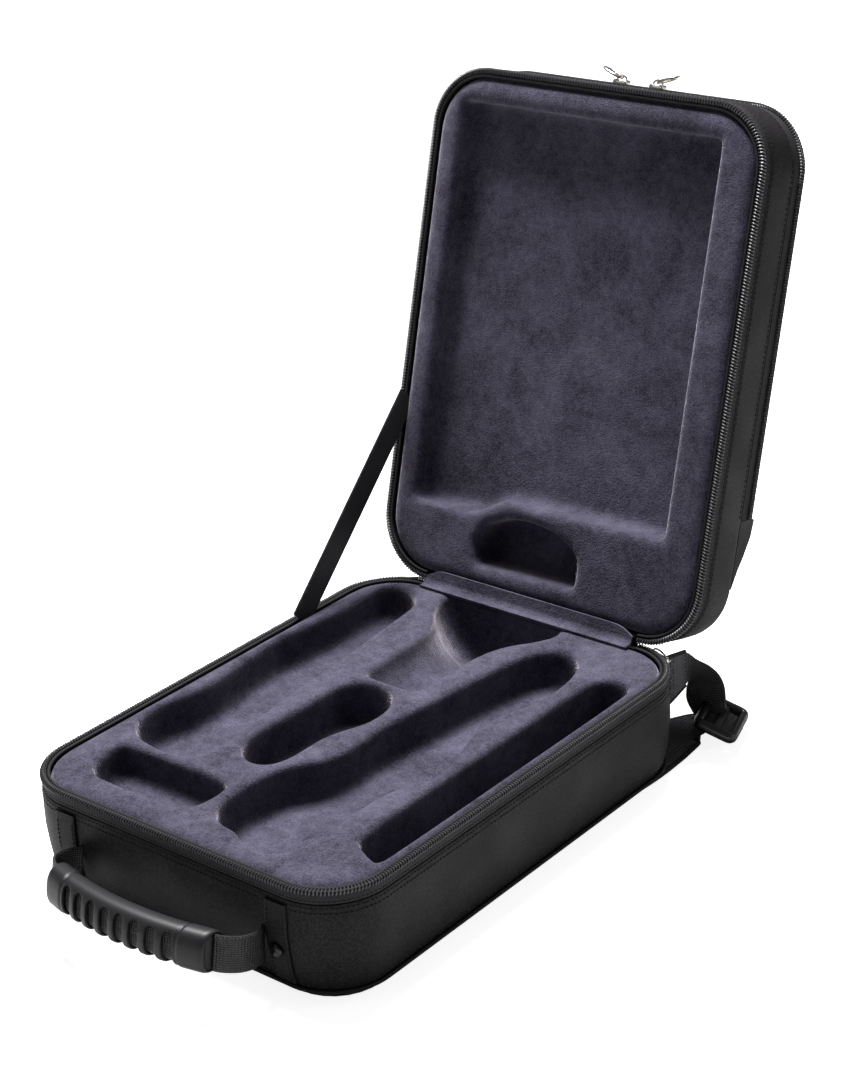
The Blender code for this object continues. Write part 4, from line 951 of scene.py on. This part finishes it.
# Middle of a pad under the case: x, y, z, width
padPlaces = (
    (0.07062, -0.10974, 0.0033, 0.0378), (0.07392, -0.09204, 0.0033, 0.054), (0.08316, 0.0, 0.0033, 0.054),
    (0.09108, 0.07611, 0.0033, 0.054), (0.09702, 0.13983, 0.0033, 0.0529), (0.09966, 0.17346, 0.0033, 0.0475),
    (0.10296, 0.19293, 0.0041, 0.041), (0.1085, 0.2062, 0.0058, 0.0346), (0.11458, 0.21063, 0.0073, 0.0313),
)
pad = {"half": 0.0029, "bindingRadius": 0.0014, "bindingFlat": 1.5}

# Top and bottom edge of the wing on the rear corner
wingEdges = (
    ((0.1003, 0.1738, 0.0682), (0.1003, 0.1738, 0.0262)),
    ((0.1033, 0.1917, 0.0664), (0.1033, 0.1917, 0.0329)),
    ((0.1056, 0.2062, 0.0646), (0.1056, 0.2062, 0.0396)),
)

# Edges of the webbing where it folds over and hangs down to the buckle
webEdges = (
    ((0.1032, 0.1985, 0.0637), (0.1032, 0.1985, 0.0387)),
    ((0.1058, 0.2070, 0.0640), (0.1052, 0.2075, 0.0400)),
    ((0.1092, 0.2151, 0.0560), (0.1023, 0.2158, 0.0393)),
    ((0.1147, 0.2224, 0.0491), (0.0994, 0.2213, 0.0358)),
    ((0.1193, 0.2264, 0.0424), (0.0967, 0.2229, 0.0318)),
    ((0.1230, 0.2268, 0.0355), (0.0959, 0.2222, 0.0262)),
    ((0.1249, 0.2258, 0.0281), (0.0978, 0.2199, 0.0194)),
    ((0.1262, 0.2243, 0.0215), (0.1053, 0.2171, 0.0123)),
    ((0.1266, 0.2262, 0.0165), (0.1145, 0.2125, 0.0088)),
)

# The webbing's tail, through the buckle to the pad: middle, direction across, width
tailStations = (
    ((0.1105, 0.2055, 0.0072), (0.589, -0.808, 0.0), 0.0240),
    ((0.1160, 0.2125, 0.0102), (0.5, -0.866, 0.0), 0.0240),
    ((0.1180, 0.2155, 0.0150), (0.4, -0.916, 0.0), 0.0240),
    ((0.1258, 0.2190, 0.0130), (0.309, -0.951, 0.0), 0.0250),
    ((0.1360, 0.2222, 0.0090), (0.309, -0.951, 0.0), 0.0250),
)
strapThickness = 0.0018

# Ladder lock: half sizes of its rounded frame, its middle bar, and how it hangs
buckle = {
    "half": (0.0145, 0.0095), "bend": 0.0032, "wire": 0.0031, "flat": 1.3, "bar": (0.0178, 0.0022, 0.0019),
    "barWay": Vector((0.309, -0.951, 0.0)), "along": Vector((0.888, 0.288, -0.358)),
    "place": (0.1258, 0.2190, 0.0142),
}


# A band between two edges, each a smooth line through its points
def bandBetween(edges, side):
    outer = smoothLine([Vector(edge) for edge, other in edges], 8)
    inner = smoothLine([Vector(other) for edge, other in edges], 8)
    rows = []
    for i, edge in enumerate(outer):
        ahead = heading(outer, i) + heading(inner, i)
        across = (inner[i] - edge).normalized()
        up = ahead.cross(across).normalized()
        middle, half = (edge + inner[i]) / 2, (inner[i] - edge).length / 2
        rows.append([middle + across * x * half + up * z for x, z in bandSection(strapThickness)])
    bm = loft(rows)
    bmesh.ops.scale(bm, vec=(side, 1, 1), verts=bm.verts)
    return bm


def makePad(side, word):
    centres = [Vector((side * x, y, z)) for x, y, z, width in padPlaces]
    stations = []
    for i, centre in enumerate(centres):
        along = heading(centres, i).normalized()
        stations.append((centre, Vector((along.y, -along.x, 0.0)), padPlaces[i][3]))
    section = []
    for k in range(36):
        angle = 2 * pi * (k + 0.5) / 36
        section.append((signedPower(cos(angle), 0.45) * 0.985,
                        signedPower(sin(angle), 0.7) * pad["half"]))
    piece = ribbon("shoulderPad_" + word, stations, section, "mesh", "base", ("shoulder_pad_" + word,))
    bound = bmesh.new()
    rows = ribbonRows(stations, ((-1.0, 0.0), (1.0, 0.0)))
    for end in (0, 1):
        cord = cordRows([row[end] for row in rows], pad["bindingRadius"], 8, flat=pad["bindingFlat"])
        loft(cord, bm=bound)
    newPiece("padBinding_" + word, bound, "binding", "base")


def makeWing(side, word):
    newPiece("strapWing_" + word, bandBetween(wingEdges, side), "mesh", "base", ("strap_wing_" + word,))
    edging = bmesh.new()
    for end in (0, 1):
        line = smoothLine([Vector((side * pair[end][0], *pair[end][1:])) for pair in wingEdges], 6)
        loft(cordRows(line, 0.0012, 8, flat=1.4), bm=edging)
    newPiece("wingBinding_" + word, edging, "binding", "base")


def makeBuckle(side, word):
    halfLong, halfWide = buckle["half"]
    loop = []
    for quarter, (x, y) in enumerate(((1, 1), (-1, 1), (-1, -1), (1, -1))):
        for k in range(7):
            angle = pi / 2 * quarter + pi / 2 * k / 6
            loop.append(Vector((x * halfLong + buckle["bend"] * cos(angle),
                                y * halfWide + buckle["bend"] * sin(angle), 0.0)))
    bm = loft(cordRows(loop, buckle["wire"], 12, closed=True, flat=buckle["flat"]), cyclic=True)
    far = Vector(buckle["bar"])
    joinInto(bm, roundedBox(-far, far, 0.0008))
    barWay, along = buckle["barWay"], buckle["along"]
    turn = Matrix((barWay, along, barWay.cross(along).normalized())).transposed().to_4x4()
    bmesh.ops.transform(bm, matrix=Matrix.Translation(buckle["place"]) @ turn, verts=bm.verts)
    bmesh.ops.scale(bm, vec=(side, 1, 1), verts=bm.verts)
    newPiece("strapBuckle_" + word, bm, "plastic", "base", ("strap_buckle_" + word,))


def makeStraps():
    for side, word in sides:
        makePad(side, word)
        makeWing(side, word)
        newPiece("strapWebbing_" + word, bandBetween(webEdges, side), "webbing", "base",
                 ("strap_webbing_" + word,))
        ribbon("strapTail_" + word, mirroredStations(tailStations, side), bandSection(strapThickness),
               "webbing", "base", ())
        makeBuckle(side, word)


# Hinge sheets and the stay. A sheet's corners can be rounded off along its outermost run; only the liner's
# are

hinge = {"half": 0.0871, "cornerFrom": 0.068, "cornerRun": 0.0191, "cornerPower": 2.2}
fabricLine = ((0.1787, 0.059), (0.1778, 0.069), (0.1778, 0.076), (0.1794, 0.07714), (0.1817, 0.07744),
              (0.19561, 0.07355))
linerLine = ((0.1637, 0.0797), (0.1683, 0.0799), (0.1712, 0.0822), (0.1724, 0.0857), (0.1736, 0.0902))

# The stay's middle and direction across, from the base's wall to the lid's
stayX, stayWidth = -0.1262, 0.02
stayLine = (
    ((0.0823, 0.0764), (0, 1, 0)), ((0.09235, 0.08628), (0, 0.996, -0.085)),
    ((0.1451, 0.13815), (0, 0.605, -0.797)), ((0.19786, 0.19002), (0, -0.186, -0.983)),
    ((0.2079, 0.1999), (0, -0.269, -0.963)),
)


# The first share of a line, with as many points as the whole
def partOf(line, share):
    last = len(line) - 1
    made = []
    for i in range(last + 1):
        where = i * share
        low = min(int(where), last - 1)
        made.append(line[low].lerp(line[low + 1], where - low))
    return made


# A sheet as wide as the hinge, along a line seen from the side
def hingeSheet(name, line, thickness, kind, replaced, endFall=0.0):
    points = smoothLine([Vector((0.0, y, z)) for y, z in line], 6)
    rows = []
    for side in (1, -1):
        rows.append([])
        for i, point in enumerate(points):
            ahead = heading(points, i).normalized()
            rows[-1].append(point + Vector((0.0, -ahead.z, ahead.y)) * thickness / 2 * side)
    across = []
    for k in range(61):
        x = -hinge["half"] + 2 * hinge["half"] * k / 60
        past = max((abs(x) - hinge["cornerFrom"]) / hinge["cornerRun"], 0.0)
        keep = 1.0 - endFall * past ** hinge["cornerPower"]
        section = [partOf(row, keep) for row in rows]
        section = section[0] + list(reversed(section[1]))
        across.append([Vector((x, p.y, p.z)) for p in section])
    piece = newPiece(name, loft(across), kind, None, replaced)
    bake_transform(piece)


def makeHinge():
    hingeSheet("hingeFabric", fabricLine, 0.001, "shell", ("hinge_fabric",))
    hingeSheet("hingeLiner", linerLine, 0.0018, "plush", ("hinge_liner",),
               0.3)
    stations = [((stayX, *place), across, stayWidth) for place, across in stayLine]
    piece = ribbon("stayStrap", stations, bandSection(0.0014), "stay", "base", ("stay_strap",))
    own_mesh(piece)


makeBase()
makeMainZip("base", -1)
makeMainZip("lid", 1)
print("base and zips made")
makeLid()
makePocket()
makeSliders()
print("lid and pocket made")
makeHandle()
makeStraps()
makeHinge()
print("handle, straps and hinge made")
softCopy("base_insert", "baseInsert", 9, "base")
softCopy("lid_insert", "lidInsert", 11, "lid")
print("plush made")


# Studio: a pale floor, soft lights and the photo's camera

# Name, place, size in metres, watts
lights = (
    ("keyLight", (-0.45, 0.42, 1.95), 0.75, 165.0), ("frontLight", (-0.9, -1.5, 0.9), 1.2, 3.0),
    ("fillLight", (1.6, 0.9, 0.8), 1.2, 5.5),
)
photoView = {"azimuth": radians(40.34), "elevation": radians(24.21), "roll": radians(-3.12), "lens": 82.04,
             "sensor": 36.0, "place": (0.9097, -1.0002, 0.8089)}


# Matt paint. To the camera it glows a little, and more with distance, so that it meets the white behind
def makeFloor():
    bm = bmesh.new()
    bmesh.ops.create_grid(bm, x_segments=1, y_segments=1, size=6.0)
    floor = placed("floor", meshFrom(bm, "floor"))
    material, tree, shader = newMaterial("painted_studio_floor", "#d2d2d2", 0.9, specular=0.0)
    feed(shader, "Emission Color", (1.0, 1.0, 1.0, 1.0))
    seen = addNode(tree, "ShaderNodeLightPath").outputs["Is Camera Ray"]
    away = addNode(tree, "ShaderNodeVectorMath", {0: objectSpace(tree)}, operation="LENGTH").outputs["Value"]
    glow = remap(tree, away, 0.7, 2.2, 0.86, 1.02)
    feed(shader, "Emission Strength", calculate(tree, "MULTIPLY", seen, glow))
    floor.data.materials.append(material)


# A dim white surround, which the camera sees as plain white
def makeSurround():
    world = bpy.data.worlds.new("studio")
    bpy.context.scene.world = world
    world.use_nodes = True
    tree = world.node_tree
    background = tree.nodes["Background"]
    seen = addNode(tree, "ShaderNodeLightPath").outputs["Is Camera Ray"]
    feed(background, "Color", (1.0, 1.0, 1.0, 1.0))
    feed(background, "Strength", remap(tree, seen, 0.0, 1.0, 0.15, 1.05))


def makeLights():
    target = Vector((0.0, 0.05, 0.15))
    for name, place, size, power in lights:
        data = bpy.data.lights.new(name, "AREA")
        data.shape = "SQUARE"
        data.size = size
        data.energy = power
        light = placed(name, data)
        light.location = place
        light.rotation_euler = (Vector(place) - target).to_track_quat("Z", "Y").to_euler()


def makeCamera():
    turn = (Matrix.Rotation(photoView["azimuth"], 4, "Z")
            @ Matrix.Rotation(pi / 2 - photoView["elevation"], 4, "X")
            @ Matrix.Rotation(photoView["roll"], 4, "Z"))
    data = bpy.data.cameras.new("photoCamera")
    data.sensor_fit = "VERTICAL"
    data.sensor_height = photoView["sensor"]
    data.lens = photoView["lens"]
    data.clip_end = 50.0
    camera = placed("photoCamera", data)
    camera.matrix_world = Matrix.Translation(photoView["place"]) @ turn
    bpy.context.scene.camera = camera


makeFloor()
makeSurround()
makeLights()
makeCamera()
bpy.context.scene.view_settings.view_transform = "Standard"
bpy.context.view_layer.update()
print("scene ready")
